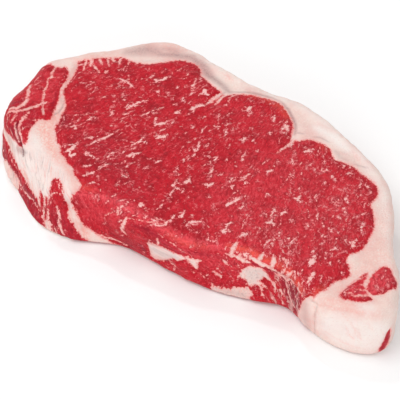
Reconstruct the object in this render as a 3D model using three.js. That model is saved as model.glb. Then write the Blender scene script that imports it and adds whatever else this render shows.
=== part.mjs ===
// A raw sirloin steak, just under an inch thick, lying flat on its lower cut face. Millimetres.
// +X runs along the steak to its fatty tail, +Y across it to the fat cap, and +Z up.
// The origin is on the resting face, under the middle of the steak's box.
// It is one closed solid: lean, fat cap, side muscle and tail have grown together.

import * as THREE from 'three';

// Driving sizes.
const thickness = 22.5;
const capRoll = 3; // radius of the roll from the top face into the fat cap's wall
const leanRoll = 7; // softer roll on the lean side, which has no cap
const footRoll = 2; // radius at the edge of the resting face
const leanRise = 0.8; // how far the middle of the large muscle stands up
const leanSpread = 27; // half width of that rise across the steak, doubled along it
const wallWave = 0.8; // how far the muscle bundles in the wall swell and pinch

// How finely the skin is divided.
const stations = 150; // round the steak
const footRings = 3;
const wallRings = 6;
const rollRings = 5;
const faceRings = 13; // from the roll in to the spine of the top face
const spineLength = 0.45; // the innermost ring, as shares of the outline
const spineWidth = 0.06;

const leanRed = new THREE.Color(0xb52238);
const fatCream = new THREE.Color(0xf0dfd6);

// The outline at the top of the wall, anticlockwise from the tip of the tail.
// The third number is how far the foot of the wall stands out past it.
const outline = [
  [96, -21, 1],
  [91.5, -10, 0],
  [83.5, 1.5, -1],
  [74.5, 16, -1],
  [63.5, 31, -1],
  [46.5, 42, -1],
  [27.5, 48, -1],
  [8, 52.5, -1],
  [-11.5, 50.5, -1],
  [-32.5, 51.5, -1],
  [-52.5, 53, -1],
  [-68.5, 46.5, -1],
  [-79, 33.5, -1],
  [-88, 23, -1],
  [-97.5, 10, -1],
  [-96.5, -6, 0],
  [-93.5, -22, 2],
  [-82.5, -31.5, 4],
  [-68.5, -41.5, 3.5],
  [-52, -47.5, 5.5],
  [-36.5, -44, 7],
  [-17, -44, -1.5],
  [5.5, -41.5, 0.5],
  [25.5, -36.5, 4],
  [40, -32.5, 3.5],
  [54, -30.5, 0.5],
  [66.5, -35.5, -0.5],
  [77, -36.5, 0],
  [87, -33, 2],
  [94, -27.5, 2.5],
];

// The lean parts in plan. The large one runs out through the near wall, and so does the side muscle.
const largeMuscle = [
  [-83.5, 18.5],
  [-79.5, -0.5],
  [-72, -12.5],
  [-66, -21.5],
  [-57.5, -31.5],
  [-44.5, -39],
  [-36.5, -45.5],
  [-29, -61.5],
  [-0.5, -54.5],
  [52.5, -45.5],
  [66.5, -34],
  [73.5, -19.5],
  [68.5, -10],
  [70.5, 1.5],
  [62.5, 18.5],
  [60, 27],
  [53.5, 31],
  [37.5, 32.5],
  [26, 37],
  [17, 31.5],
  [13.5, 38],
  [5, 45.5],
  [-7.5, 44.5],
  [-20, 38.5],
  [-24, 31.5],
  [-29.5, 38],
  [-42, 46],
  [-52, 42.5],
  [-59.5, 33],
  [-75, 26.5],
];
const sideMuscle = [
  [-89, 12.5],
  [-82.5, 2],
  [-76, -10],
  [-77.5, -22.5],
  [-73, -33],
  [-87, -45.5],
  [-105, -10],
  [-94.5, 8],
];
const tailMuscle = [
  [76, -27],
  [76, -18],
  [79, -12],
  [81.5, -7.5],
  [85.5, -6],
  [90.5, -12],
  [88, -19.5],
  [82.5, -27],
];

// Relief of the top face: a path in plan, how wide it is to either side, and how far it rises or sinks.
const relief = [
  // The seam between the large muscle and the side muscle.
  { width: 2.4, height: -1.2, path: [[-84.5, 16.5], [-81, 3.5], [-76.5, -7.5], [-71, -16]] },
  // The two seams that run from the cap into the large muscle.
  { width: 2.2, height: -0.9, path: [[-18, 45], [-22.5, 38.5], [-24.5, 29]] },
  { width: 2.2, height: -0.9, path: [[8.5, 44], [15.5, 36], [17, 26.5]] },
  // The valley between the lean and the crest of the cap, on either side of the first seam.
  { width: 4, height: -1.4, path: [[-75.5, 29], [-63.5, 38], [-49, 48.5], [-36.5, 45], [-22.5, 43]] },
  { width: 3, height: -0.8, path: [[-7.5, 47.5], [6.5, 46.5], [21, 40.5], [40.5, 37], [59.5, 30.5], [69.5, 15.5]] },
  // The sunken patch of connective tissue.
  { width: 7, height: -1.8, path: [[-75, -22.5], [-65, -33], [-52.5, -42]] },
  // The soft fat between the large muscle and the tail's own, which stands proud.
  { width: 3.5, height: -0.9, path: [[74, -6.5], [75.5, -15.5], [71, -29.5]] },
  { width: 5, height: 0.6, path: [[80, -22], [87, -13]] },
];

// The nub of fat near the foot of the left end.
const nub = { x: -79, y: -34.5, height: 6, spread: 6, rise: 2.5 };

function onCurve(points, count) {
  const knots = points.map(([x, y, foot]) => new THREE.Vector3(x, y, foot));
  return new THREE.CatmullRomCurve3(knots, true, 'centripetal').getSpacedPoints(count).slice(0, count);
}

function distanceToSegment(x, y, [ax, ay], [bx, by]) {
  const alongX = bx - ax;
  const alongY = by - ay;
  const share = ((x - ax) * alongX + (y - ay) * alongY) / (alongX * alongX + alongY * alongY);
  const held = THREE.MathUtils.clamp(share, 0, 1);
  return Math.hypot(x - ax - held * alongX, y - ay - held * alongY);
}

function distanceToPath(x, y, path) {
  const spans = path.slice(1).map((end, index) => distanceToSegment(x, y, path[index], end));
  return Math.min(...spans);
}

function isInside(x, y, border) {
  let inside = false;
  border.forEach(([ax, ay], index) => {
    const [bx, by] = border[(index + 1) % border.length];
    const crosses = ay > y !== by > y && x < ax + ((y - ay) * (bx - ax)) / (by - ay);
    inside = crosses ? !inside : inside;
  });
  return inside;
}

function bell(distance, width) {
  return Math.exp(-((distance / width) ** 2));
}

function topHeight(x, y) {
  const rise = leanRise * bell(Math.hypot(x / 2, y), leanSpread);
  const steps = relief.map(({ path, width, height }) => height * bell(distanceToPath(x, y, path), width));
  return steps.reduce((sum, step) => sum + step, thickness + rise);
}

function swell(turn, height) {
  const bundles = Math.sin(9 * turn + 0.6) + 0.6 * Math.sin(17 * turn + 2.1 + height / 9);
  return wallWave * bundles * Math.sin((Math.PI * height) / thickness);
}

function nubRise(x, y, height) {
  const away = Math.hypot(x - nub.x, y - nub.y, height - nub.height);
  return nub.rise * bell(away, nub.spread);
}

const edge = onCurve(outline, stations);

// The outward direction at each station, level with the board.
const outward = edge.map((point, index) => {
  const before = edge[(index + stations - 1) % stations];
  const after = edge[(index + 1) % stations];
  return new THREE.Vector2(after.y - before.y, before.x - after.x).normalize();
});

// One column of skin points for a station, from the resting face up over the roll to the spine.
function column(index) {
  const { x: edgeX, y: edgeY, z: foot } = edge[index];
  const out = outward[index];
  const turn = (2 * Math.PI * index) / stations;
  const roll = THREE.MathUtils.lerp(leanRoll, capRoll, (1 + out.y) / 2);
  const at = (reach, height) => new THREE.Vector3(edgeX + out.x * reach, edgeY + out.y * reach, height);
  const innerTop = topHeight(edgeX - out.x * roll, edgeY - out.y * roll);
  const shoulder = innerTop - roll;
  const points = [];

  for (let ring = 0; ring < footRings; ring += 1) {
    const angle = (Math.PI / 2) * (ring / footRings);
    points.push(at(foot - footRoll * (1 - Math.sin(angle)), footRoll * (1 - Math.cos(angle))));
  }
  for (let ring = 0; ring <= wallRings; ring += 1) {
    const share = ring / wallRings;
    const height = THREE.MathUtils.lerp(footRoll, shoulder, share);
    const reach = foot * (1 - share) + swell(turn, height) + nubRise(edgeX, edgeY, height);
    points.push(at(reach, height));
  }
  const shoulderReach = swell(turn, shoulder);
  for (let ring = 1; ring <= rollRings; ring += 1) {
    const angle = (Math.PI / 2) * (ring / rollRings);
    const reach = shoulderReach * Math.cos(angle) - roll * (1 - Math.cos(angle));
    points.push(at(reach, shoulder + roll * Math.sin(angle)));
  }
  const rim = points[points.length - 1];
  for (let ring = 1; ring <= faceRings; ring += 1) {
    const share = ring / faceRings;
    const x = rim.x * THREE.MathUtils.lerp(1, spineLength, share);
    const y = rim.y * THREE.MathUtils.lerp(1, spineWidth, share);
    points.push(new THREE.Vector3(x, y, topHeight(x, y)));
  }
  return points;
}

function skinGeometry() {
  const columns = edge.map((point, index) => column(index));
  const rings = columns[0].length;
  const skin = columns.flat();
  const triangles = [];

  for (let station = 0; station < stations; station += 1) {
    const here = station * rings;
    const next = ((station + 1) % stations) * rings;
    for (let ring = 0; ring < rings - 1; ring += 1) {
      triangles.push([here + ring, next + ring, next + ring + 1]);
      triangles.push([here + ring, next + ring + 1, here + ring + 1]);
    }
  }
  const foot = columns.map((points) => new THREE.Vector2(points[0].x, points[0].y));
  const spine = columns.map((points) => new THREE.Vector2(points[rings - 1].x, points[rings - 1].y));
  for (const [a, b, c] of THREE.ShapeUtils.triangulateShape(foot, [])) {
    triangles.push([c * rings, b * rings, a * rings]);
  }
  for (const [a, b, c] of THREE.ShapeUtils.triangulateShape(spine, [])) {
    triangles.push([a, b, c].map((station) => station * rings + rings - 1));
  }

  const geometry = new THREE.BufferGeometry().setFromPoints(skin);
  geometry.setIndex(triangles.flat());
  geometry.setAttribute('color', new THREE.Float32BufferAttribute(skin.flatMap(tissueColour), 3));
  geometry.computeVertexNormals();
  geometry.computeBoundingBox();
  const middle = geometry.boundingBox.getCenter(new THREE.Vector3());
  return geometry.translate(-middle.x, -middle.y, 0);
}

function tissueColour({ x, y }) {
  const lean = [largeMuscle, sideMuscle, tailMuscle].some((border) => isInside(x, y, border));
  return (lean ? leanRed : fatCream).toArray();
}

const meat = new THREE.MeshStandardMaterial({ vertexColors: true, roughness: 0.42, metalness: 0 });

const steak = new THREE.Mesh(skinGeometry(), meat);
steak.name = 'steak';

const part = new THREE.Group();
part.add(steak);

export default part;
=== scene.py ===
"""Dresses a raw sirloin steak: one closed skin of marbled lean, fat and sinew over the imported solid.

Sizes here are millimetres until a mesh is made. A place on the top face is (x, y) in plan. A place on
the wall is (s, h): s runs along the rim, clockwise seen from above, from the tip of the tail, and h is
the height up the wall, which goes on past the shoulder as the way in from the rim.
"""

from __future__ import annotations

import logging
import math
from dataclasses import asdict, dataclass, field, fields
from enum import Enum
from typing import Sequence

import bmesh
import bpy
import numpy as np
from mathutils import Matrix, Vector

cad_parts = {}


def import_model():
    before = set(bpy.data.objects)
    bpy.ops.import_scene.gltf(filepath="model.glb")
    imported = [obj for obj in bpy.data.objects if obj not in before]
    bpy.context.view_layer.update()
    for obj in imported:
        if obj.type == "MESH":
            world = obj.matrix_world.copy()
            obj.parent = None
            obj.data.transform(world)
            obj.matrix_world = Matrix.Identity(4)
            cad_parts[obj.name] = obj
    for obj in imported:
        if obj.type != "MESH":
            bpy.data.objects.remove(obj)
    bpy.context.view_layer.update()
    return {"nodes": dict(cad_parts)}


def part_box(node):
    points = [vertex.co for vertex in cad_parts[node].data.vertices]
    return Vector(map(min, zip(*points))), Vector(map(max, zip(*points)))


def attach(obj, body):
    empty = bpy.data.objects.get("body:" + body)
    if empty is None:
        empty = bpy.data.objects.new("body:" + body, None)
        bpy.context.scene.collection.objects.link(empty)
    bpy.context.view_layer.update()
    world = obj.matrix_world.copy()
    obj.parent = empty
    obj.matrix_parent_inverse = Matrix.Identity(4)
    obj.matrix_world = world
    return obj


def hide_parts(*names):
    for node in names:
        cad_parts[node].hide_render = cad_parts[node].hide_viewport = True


log = logging.getLogger("steak")

MM = 0.001
FAR = 8.0  # how far from a mark its distance is still told, in mm
Route = Sequence[tuple[float, float]]
Shade = tuple[int, int, int]
Socket = bpy.types.NodeSocket
Outputs = bpy.types.bpy_prop_collection


class Ground(Enum):
    """The face of the steak that a mark is drawn on."""

    TOP = "top"
    WALL = "wall"


@dataclass(frozen=True)
class Area:
    """A closed patch, drawn by its border."""

    ground: Ground
    border: Route
    softening: int = 1  # how often its corners are cut


@dataclass(frozen=True)
class Stroke:
    """A line with a width, which narrows to a share of it at both ends."""

    ground: Ground
    route: Route
    width: float
    tip: float = 0.3


@dataclass(frozen=True)
class Touch:
    """How strongly a mark tells, and over how many millimetres it fades out at its edge."""

    mark: Area | Stroke
    strength: float
    fade: float


@dataclass(frozen=True)
class Fibres:
    """A line that the fibres beside it follow, and the stretch of the wall where they do."""

    route: Route
    start: float
    end: float
    ceiling: float


def top_patch(border: Route) -> Area:
    """Returns a patch of the top face."""
    return Area(Ground.TOP, border)


def wall_patch(border: Route, softening: int = 1) -> Area:
    """Returns a patch of the wall."""
    return Area(Ground.WALL, border, softening)


def top(route: Route, width: float, tip: float = 0.3) -> Stroke:
    """Returns a stroke on the top face."""
    return Stroke(Ground.TOP, route, width, tip)


def wall(route: Route, width: float, tip: float = 0.3) -> Stroke:
    """Returns a stroke on the wall."""
    return Stroke(Ground.WALL, route, width, tip)


class Tissue:
    """Where each tissue lies, read off the cut faces."""

    # The large muscle, from its corner by the side muscle round under the cap to the tail and back.
    EYE = top_patch([
        (-85.3, 17.2), (-83.7, 18.9), (-83, 20), (-81.6, 20.6), (-80.6, 21.8), (-79.7, 23.6), (-78.3, 24.2),
        (-77.2, 26), (-75.4, 26.6), (-74.8, 28), (-73.3, 28.6), (-72.3, 30.2), (-70.2, 31), (-67.7, 30.4),
        (-65.2, 30.9), (-62.7, 31.8), (-60.5, 32.4), (-58.5, 33), (-57.5, 34.5), (-56, 36), (-54.5, 37.5),
        (-53.5, 39.5), (-52, 41), (-50.8, 42.8), (-48.5, 44), (-46.2, 44.8), (-43.8, 45.3), (-42.3, 45.7),
        (-40.8, 44.8), (-39.6, 44.4), (-38.5, 43.2), (-37.5, 41.7), (-36.5, 40.2), (-35, 40.2),
        (-33.5, 39.2), (-31.9, 38.6), (-30.4, 38.6), (-28.8, 37.7), (-27.3, 37.3), (-24.6, 37.5),
        (-23.8, 37), (-23.2, 36.4), (-21, 36.4), (-20.4, 37.1), (-19.4, 38.2), (-18.5, 39.4), (-16.9, 39.8),
        (-15.4, 40.7), (-13.5, 41.1), (-12.3, 42.5), (-9.6, 43.6), (-7.7, 44.4), (-5, 45.2), (-2.7, 45.7),
        (0, 46.1), (1.9, 45.2), (4.2, 43.6), (6.5, 42.5), (8.5, 41.3), (10, 39.8), (11.5, 38.6),
        (12.7, 36.7), (13.8, 34.4), (14.6, 32.1), (15.6, 31), (17, 31.2), (19.2, 31.9), (20.4, 33.2),
        (21.9, 34.8), (23.8, 35.7), (26.2, 35.7), (28.5, 35.9), (30.8, 35.5), (32.7, 35), (33.8, 33.2),
        (35.4, 31.9), (37.3, 30.7), (38.8, 31.3), (42, 31.8), (45, 32.5), (47.3, 31.6), (49.6, 31),
        (52.3, 30.2), (56.5, 29.5), (58.1, 28.3), (59.6, 27.2), (60.8, 25.6), (61.5, 23.3), (61.5, 21.4),
        (61.2, 19.5), (61.9, 17.9), (63.5, 16.4), (65, 14.5), (66.5, 13.3), (67.7, 11.4), (68.8, 9.1),
        (69.6, 6.8), (70.2, 4.5), (70.6, 1.8), (71.2, -0.9), (71, -3.6), (70.4, -5.9), (68.8, -7.8),
        (68.3, -10.4), (69.2, -12.7), (71.5, -13.5), (72, -15.8), (73.8, -16.5), (74, -17.7), (73.1, -20),
        (71.5, -21.9), (70.4, -24.5), (70.2, -28.5), (68.8, -30.4), (68.1, -32.7), (66.9, -35), (66, -37),
        (60, -48), (20, -56), (-10, -60), (-32, -60), (-37.5, -49), (-38.1, -46.9), (-37.9, -44.6),
        (-38.5, -41.9), (-39.2, -40), (-40.8, -38.5), (-42.7, -37.7), (-44.6, -36.9), (-46.5, -35.8),
        (-47.7, -33.8), (-49.6, -33.5), (-51.5, -33.1), (-53.5, -31.9), (-55, -30.6), (-57.7, -30),
        (-58.8, -28.8), (-59.6, -27.3), (-61.5, -26.2), (-63.5, -25.4), (-65, -23.5), (-66.9, -21.5),
        (-68.8, -19.6), (-69.2, -18.5), (-69.6, -15.8), (-70.8, -12.7), (-71.7, -10.4), (-72.1, -8.5),
        (-72.7, -6.9), (-74.2, -6), (-75.4, -3.9), (-77.6, -2.3), (-79.5, -0.2), (-80.1, 2.3), (-80.5, 5.3),
        (-81.1, 8.2), (-82, 11.1), (-83, 14), (-84.4, 16.3),
    ])
    SIDE_MUSCLE = top_patch([
        (-93.6, 8.1), (-91, 8.6), (-88.8, 9.8), (-87.5, 12), (-86.3, 10.5), (-85, 10.4), (-83.8, 8.4),
        (-82.5, 6.1), (-82.1, 2.8), (-81.4, -0.4), (-79.7, -2.6), (-78.2, -5.2), (-77.1, -7.8),
        (-75.9, -11), (-74.9, -13.4), (-73.6, -16.2), (-75, -18), (-77.4, -18.6), (-77.8, -20),
        (-77.7, -23.2), (-77.1, -26.9), (-75.8, -29.1), (-74.1, -32), (-74.4, -33.4), (-76.5, -33.2),
        (-79, -31.2), (-81.2, -29), (-83, -27.4), (-84.8, -27.7), (-88.1, -27.5), (-91.2, -25.4),
        (-94, -23), (-99, -16), (-99, 4),
    ])
    TAIL_LOBE = top_patch([
        (82.3, -6.9), (83.5, -6.2), (85.4, -6), (86.9, -7.3), (88.5, -8.8), (90.4, -9.8), (91.9, -11.2),
        (92.1, -12.7), (90.8, -13.8), (90.2, -15.8), (89.8, -17.7), (88.1, -19.6), (85.8, -21),
        (83.8, -20.4), (82.7, -18.8), (81.9, -15.8), (81.3, -11.9), (81.9, -9.2),
    ])
    TAIL_SLIVER = top_patch([
        (79, -12.7), (80, -14.2), (80.2, -16.5), (80.6, -18.9), (82.3, -19.9), (84, -21.4), (87.7, -22.7),
        (86.9, -24.2), (85.4, -25.4), (83.5, -26.9), (81.2, -28.1), (78.5, -28.8), (76.2, -28.8),
        (76.3, -25.8), (76.9, -21.9), (77.7, -18.8), (78.1, -15.8),
    ])
    TOP_LEAN = (EYE, SIDE_MUSCLE, TAIL_LOBE, TAIL_SLIVER)

    WALL_LEAN = (
        # The large muscle's side, all along the near wall.
        wall_patch([
            (38, 34), (37.5, 27), (38.8, 23), (41, 18), (41.5, 12), (44, 7), (45, 3.6), (45, -3), (127, -3),
            (129, 2), (135, 5.2), (139.7, 7.4), (143.3, 10.1), (145.4, 14.5), (147.7, 19.9), (147.4, 22.9),
            (145.1, 26.4), (144.5, 34),
        ]),
        # The block of side muscle between two bands of sinew.
        wall_patch([
            (163.4, 27.2), (160.4, 28.2), (157.3, 28.4), (154.4, 26.8), (153, 23.6), (152.9, 21.7),
            (150.8, 18.9), (149, 15.4), (148.9, 11.5), (147.9, 9.4), (145.6, 7.4), (143.3, 4.1),
            (138.3, 0.6), (138, -3), (152.4, -3), (155.1, 4.8), (157, 7.5), (158.5, 11.2), (159.2, 17.4),
            (159.7, 20.3), (160.5, 23.7), (162.6, 26.1),
        ]),
        # The two strips at the foot of the left end.
        wall_patch([
            (215, 12), (206, 9.6), (201.2, 10.3), (196.4, 10.3), (190.1, 11.3), (180, 11.4), (174.4, 10.5),
            (168.4, 9.9), (164.8, 9.7), (162.6, 7), (160.8, 4.6), (158.6, 3.2), (156.6, -3), (180, -3),
            (180.4, 5), (184.3, 6.7), (189.2, 7.9), (194.4, 6.5), (198, 3), (206, -3), (222, -3), (222, 9),
        ]),
        # The folded end of the side muscle, down to the crease.
        wall_patch([
            (214, 36), (213.5, 22), (210.6, 15), (206.8, 12.4), (203.1, 14.4), (200.2, 15.6), (197.1, 16.4),
            (194, 19), (190, 20), (187.8, 22.6), (192, 23.8), (196.4, 24.8), (198.3, 27.1), (200.2, 30.7),
            (202.1, 36),
        ]),
        # Lean between the threads of sinew beside the block.
        wall_patch([
            (165.2, 15.6), (164.7, 12.8), (162.8, 9), (161.4, 6), (160.3, 4.8), (160.9, 8), (161.8, 11.6),
            (163.6, 14.6),
        ]),
        wall_patch([
            (160.7, 16), (160.4, 12), (159.7, 8), (158.9, 4.4), (158, 5.4), (158.7, 9.6), (159.6, 14),
        ]),
        # The side muscle's own wall and the tail's foot, which the photo hardly shows.
        wall_patch([(210, 34), (213, 18), (222, 14.6), (238, 16.6), (244, 22), (245, 34)]),
        wall_patch([
            (1.8, 11), (2, 6), (4, 3.2), (6.4, 0.8), (7.6, 2.2), (6.8, 5.4), (4.9, 8.1), (3.4, 11),
        ]),
    )

    # Fat and sinew that lie over the lean.
    FAT_LINES = (
        top([(-22.4, 38.5), (-23.4, 36), (-24.1, 33), (-24.3, 30.5), (-24.6, 27.6)], 2),
        top([(-20.8, 38.5), (-21.6, 35), (-21.8, 32), (-21.7, 29.4)], 1.6),
        top([(15.6, 33.5), (16.4, 30.8), (17.3, 28.8), (18.4, 26.9)], 1.5),
        top([(16.2, 31), (16.6, 27.5), (16.1, 24.6), (15.2, 20.5)], 1.2),
        top([(-16.7, 40.5), (-18.5, 38), (-18.4, 35.6), (-17.1, 33)], 0.9),
        top([(-83.8, 21.6), (-82, 18.6), (-80, 14)], 1.1),
        top([(-82.4, 22.8), (-80.4, 20.6), (-79.2, 18)], 2, 0.4),
        top([(-80.4, 20.4), (-77, 18.6), (-73.6, 17.2)], 1.3, 0.4),
        top([(-80, 25), (-77.4, 23), (-75.2, 21.4)], 1.4),
        top([(-77, 27.4), (-74.4, 24.6), (-72.2, 22.4)], 1.1),
        top([(-75.6, 29.4), (-73.4, 27), (-71.8, 26.8)], 1.4),
        top([(-72.4, 31.6), (-71, 28.4), (-69.4, 25.8)], 1.3),
        top([(-67.6, 31.6), (-66.4, 28.4)], 1),
        top([(-64, 32.4), (-63.6, 29.6)], 0.8),
        top([(-71.4, 20), (-70.9, 17.9)], 1.2),
        # The lines in the side muscle.
        top([
            (-91.4, 10), (-90.4, 7.4), (-90, 4.8), (-88.3, 3), (-89, 1.1), (-87.7, -0.8), (-86.4, -2.7),
        ], 0.9, 0.6),
        top([(-88.3, 3), (-86.6, 3.6)], 0.5),
        top([
            (-86.4, -2.7), (-86, -5.3), (-82.9, -9.8), (-81.5, -11.6), (-80.6, -13.4), (-77.6, -16.4),
        ], 1.2, 0.8),
        top([
            (-93.4, -5.6), (-90.4, -10.6), (-88.4, -13.6), (-87.7, -17), (-88.8, -20.2), (-93.8, -21.7),
        ], 1.6, 0.7),
        top([(-80.6, -9.9), (-83.3, -15.2), (-85.5, -19.3), (-88, -22), (-93.6, -23.2)], 1.4, 0.6),
        wall([
            (203, 33.4), (200.6, 31), (199, 27.6), (198, 25.9), (195.8, 24.9), (192, 24.4), (187.6, 23.7),
        ], 1.3, 0.7),
        wall([(200.2, 25), (198.4, 22.6), (195.6, 21.2), (191.8, 21)], 1.4, 0.5),
        wall([(203.8, 28.4), (202.6, 25), (201.8, 22)], 1),
        wall([(210, 21.6), (207.4, 21.8), (205, 20.6)], 1.1),
        wall([(206.4, 24.4), (204.8, 22.6)], 0.8),
        wall([(204.6, 18.4), (202, 17.4)], 0.9),
        wall([(200.6, 18.6), (197.8, 18)], 0.7),
        top([(-78, -20.4), (-79.8, -21.6)], 0.7),
        # The tail's own muscle.
        top([(79.4, -10.6), (80.6, -13.6), (81.5, -17), (82.6, -19.8)], 1.6, 0.6),
        top([(77.5, -17.4), (79.2, -14.8)], 0.8),
        top([(79.4, -20), (81.4, -18)], 0.8),
        top([(79.6, -22.4), (82, -21.4), (83.4, -20)], 0.8),
        top([(78.9, -25.2), (81.3, -25.6), (83.8, -23.2), (87.2, -20.8), (91, -18)], 1.2, 0.7),
        top([(77.3, -26.3), (78.4, -25.7)], 0.9),
        # The seam's foot and the threads beside the block.
        wall([(144, 10), (141, 7.4), (136, 5), (130, 4), (122, 4)], 1.1),
        wall([(135, 1.6), (128, 1.2), (121, 1.8)], 0.8),
        wall([(154.2, 13.6), (152.7, 10.4), (151.5, 5.6), (149.3, 2.4), (148.6, -2)], 1.1, 0.8),
        wall([(158.3, 10.4), (156.6, 5.9), (153.6, 3.6), (151.4, 0)], 0.9, 0.8),
        wall([(160.4, 27.2), (157.6, 27), (156.2, 25.4), (157.2, 24.2)], 0.6),
        wall([(159.4, 15), (157.6, 19.6), (155.6, 22.2), (153.6, 21.6)], 0.6),
        wall([(181.4, 4.6), (178.3, 5), (172.5, 6.2), (168.8, 6.7), (163.4, 6)], 1.1, 0.6),
        wall([(197, 9.4), (188, 9.9), (180, 9)], 0.4),
        # Fat in the large muscle's wall.
        wall([(122.2, 22.6), (122.8, 18), (123.8, 14), (122.2, 11)], 1.7),
        wall([(128.4, 26), (126.6, 20.4)], 1.1),
        wall([(132.4, 16.8), (129, 20.8)], 0.9),
        wall([(121.8, 21.8), (115.4, 23.8), (109.9, 26.2), (107, 28)], 0.6),
        wall([(112.4, 28.7), (110.2, 28.4)], 1.2),
        wall([(108.2, 21.2), (104.2, 20), (99.4, 19.4), (95.4, 17.2), (91.7, 15.9)], 0.6, 0.6),
        wall([(107.2, 18.6), (106.8, 13.8)], 1.2),
        wall([(103, 7.6), (99, 6.4), (99.8, 3)], 1.1),
        wall([(75.6, 29.5), (76, 25), (76.4, 20.3)], 1.9),
        wall([(74.6, 22.2), (71.6, 20.8), (69.8, 22.6)], 1.5),
        wall([(79.4, 17.2), (76.2, 14.8)], 1.5),
        wall([(73.6, 17.4), (72, 15.4)], 0.8),
        wall([(82.8, 9.8), (80.1, 8.4), (78.6, 8)], 1.1),
        wall([(88, 7.3), (85.7, 6)], 0.7),
        wall([(91.6, 8.3), (89.8, 6.7)], 0.6),
        wall([(78.4, 21.6), (75.6, 21), (73.4, 21.8)], 1.6),
        wall([(74.8, 22), (71.6, 20.5), (68.2, 20.4)], 2.2, 0.5),
        wall([(68.2, 23.8), (64.6, 22.4), (61.6, 21.4)], 2.8, 0.4),
        wall([(62.4, 22.6), (59.6, 21), (56.6, 19.6)], 1.9, 0.4),
        wall([(57.4, 19.8), (55, 18.8), (52, 19.3), (48.4, 19.3)], 1.5, 0.5),
        wall([(49.6, 19.8), (45, 19.8), (40.6, 19.4)], 1.1, 0.7),
        wall([(72.6, 21), (72.5, 24.4)], 1.5, 0.1),
        wall([(68.8, 22), (68.4, 25.4)], 1.4, 0.1),
        wall([(65, 22), (64, 28)], 2.2, 0.1),
        wall([(59.4, 21), (58.8, 24), (59.4, 28.8)], 2, 0.1),
        wall([(55.4, 19), (54.2, 24)], 1.6, 0.1),
        wall([(52.6, 19), (51.6, 25)], 1.7, 0.1),
        wall([(56.4, 29), (54.8, 26.6)], 1),
        wall([(47, 23.4), (45.6, 20.6)], 1.2),
        wall([(60.2, 15.6), (57.2, 12), (56, 8)], 1.3),
        wall([(64.6, 12.4), (60.9, 10), (59.2, 8.4)], 0.8),
        wall([(58.6, 19), (55.1, 17.4), (51.2, 14.2)], 0.8),
        wall([(54.2, 18.2), (50.8, 18), (47.4, 17.4)], 0.7),
        wall([(52, 16), (50.1, 11.6), (48.4, 7.4)], 1.5),
        wall([(48.6, 8), (46.3, 6.8), (43.8, 6.2)], 1.1),
        wall([(56.8, 14), (54.3, 10), (51.2, 7.2)], 0.7),
        wall([(45.6, 14.6), (43, 12)], 0.7),
        wall([(62, 8), (60.6, 3.6)], 0.9),
        wall([(57.4, 6), (56, 2)], 0.8),
        wall([(53.4, 5.4), (51.6, 2)], 0.8),
    )
    FAT_PATCHES = (
        # Two membranes and the fat at the foot of the near wall.
        wall_patch([
            (112.6, 12.3), (112, 8.4), (111.2, 5), (109.7, 3.9), (107.1, 4.4), (104.6, 5.3), (102.8, 7),
            (100.9, 9.9), (99, 10.8), (97.2, 10.3), (95.5, 12), (93.6, 13.4), (96, 14.9), (101.8, 15.3),
            (109.1, 14.2),
        ], softening=0),
        wall_patch([
            (95, 15), (91.3, 15), (87.2, 14.7), (88.8, 12.3), (89, 8.2), (91.4, 10.8), (93, 12.2),
        ], softening=0),
        wall_patch([
            (70.8, 15), (68.8, 18.2), (65.8, 19.9), (62.5, 19.6), (60.4, 17.2), (58.6, 13), (61.4, 14.4),
            (63, 12), (61, 7.6), (64.3, 9.4), (66.2, 8), (68, 8.3), (69.1, 10.3), (72, 10.6), (71.4, 13.3),
        ], softening=0),
        wall_patch([
            (83, 4.6), (81.3, 3.4), (78.4, 3.8), (75.1, 4.2), (72.8, 5.6), (69.7, 6.4), (67.5, 7.6),
            (65.5, 6.3), (64.6, 4.4), (66, 2.6), (65.6, 0), (68, -3), (83, -3),
        ], softening=0),
    )

    # Tints. Each list is one tint or look: bright lean with a painted highlight, orange lean, dusky lean with
    # painted shade, painted shade on the fat, blushing fat, thin pale strands over the lean, sinew with its
    # fibres, and pearly fat with a painted highlight.
    # Painted highlight on the near wall's rounded upper edge and sheen on the lean, with some brighter
    # muscles.
    BLOOM = (
        Touch(wall([
            (147, 24), (135, 26.4), (124, 27), (116, 25.6), (105, 24.2), (90, 23.8), (75, 25), (60, 25),
        ], 4.4, 0.8), 0.85, 3),
        Touch(wall_patch([(146, 27), (128, 30), (118, 27), (122, 18), (134, 12), (142, 12)]), 0.3, 4),
        Touch(wall_patch([(110, 20), (60, 22), (72, 8), (104, 16)]), 0.3, 4),
        Touch(top([(-79, 18), (-76, 22), (-73, 24)], 4), 0.4, 2),
        Touch(top([(84, -8), (88, -11)], 3), 0.45, 2),
        Touch(top_patch([(10, 30), (60, 24), (66, -2), (66, -30), (20, -34), (0, -10)]), 0.22, 8),
        Touch(top_patch([(77, -27), (86, -23), (91, -12), (84, -7), (80, -12)]), 0.55, 2),
        Touch(top_patch([(-92, 6), (-84, 6), (-78, -10), (-88, -16), (-94, -6)]), 0.2, 2),
        Touch(wall([(191, 25.6), (188.4, 24.6)], 2.2), 0.7, 1.2),
        Touch(top([(48, 26), (56, 22), (60, 12), (64, 2)], 10), 0.14, 6),
        Touch(top([(-20, 30), (4, 32), (26, 30)], 14), 0.14, 6),
        Touch(wall([(178, 15), (173, 12)], 3), 0.9, 1.5),
        Touch(wall([(142, 7), (139, 2)], 2), 0.8, 1.5),
    )
    EMBER = (
        Touch(wall([
            (77, 26), (70, 26.4), (63, 25.4), (57, 24.8), (50.6, 22), (43, 21.4),
        ], 3.4, 0.7), 0.85, 2),
        Touch(wall([(104, 24), (96, 22.6), (86, 23)], 2.5), 0.5, 2.5),
        Touch(wall([(147, 30), (140, 28)], 2.5), 0.4, 2.5),
        Touch(top([(-13, 42.5), (-6, 44.6), (2, 44.4), (8, 40)], 3), 0.6, 2.5),
        Touch(top([(28, 35), (32, 33.5)], 2), 0.5, 2),
        Touch(top([(67, -34), (69, -28)], 2), 0.6, 2),
    )
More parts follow.
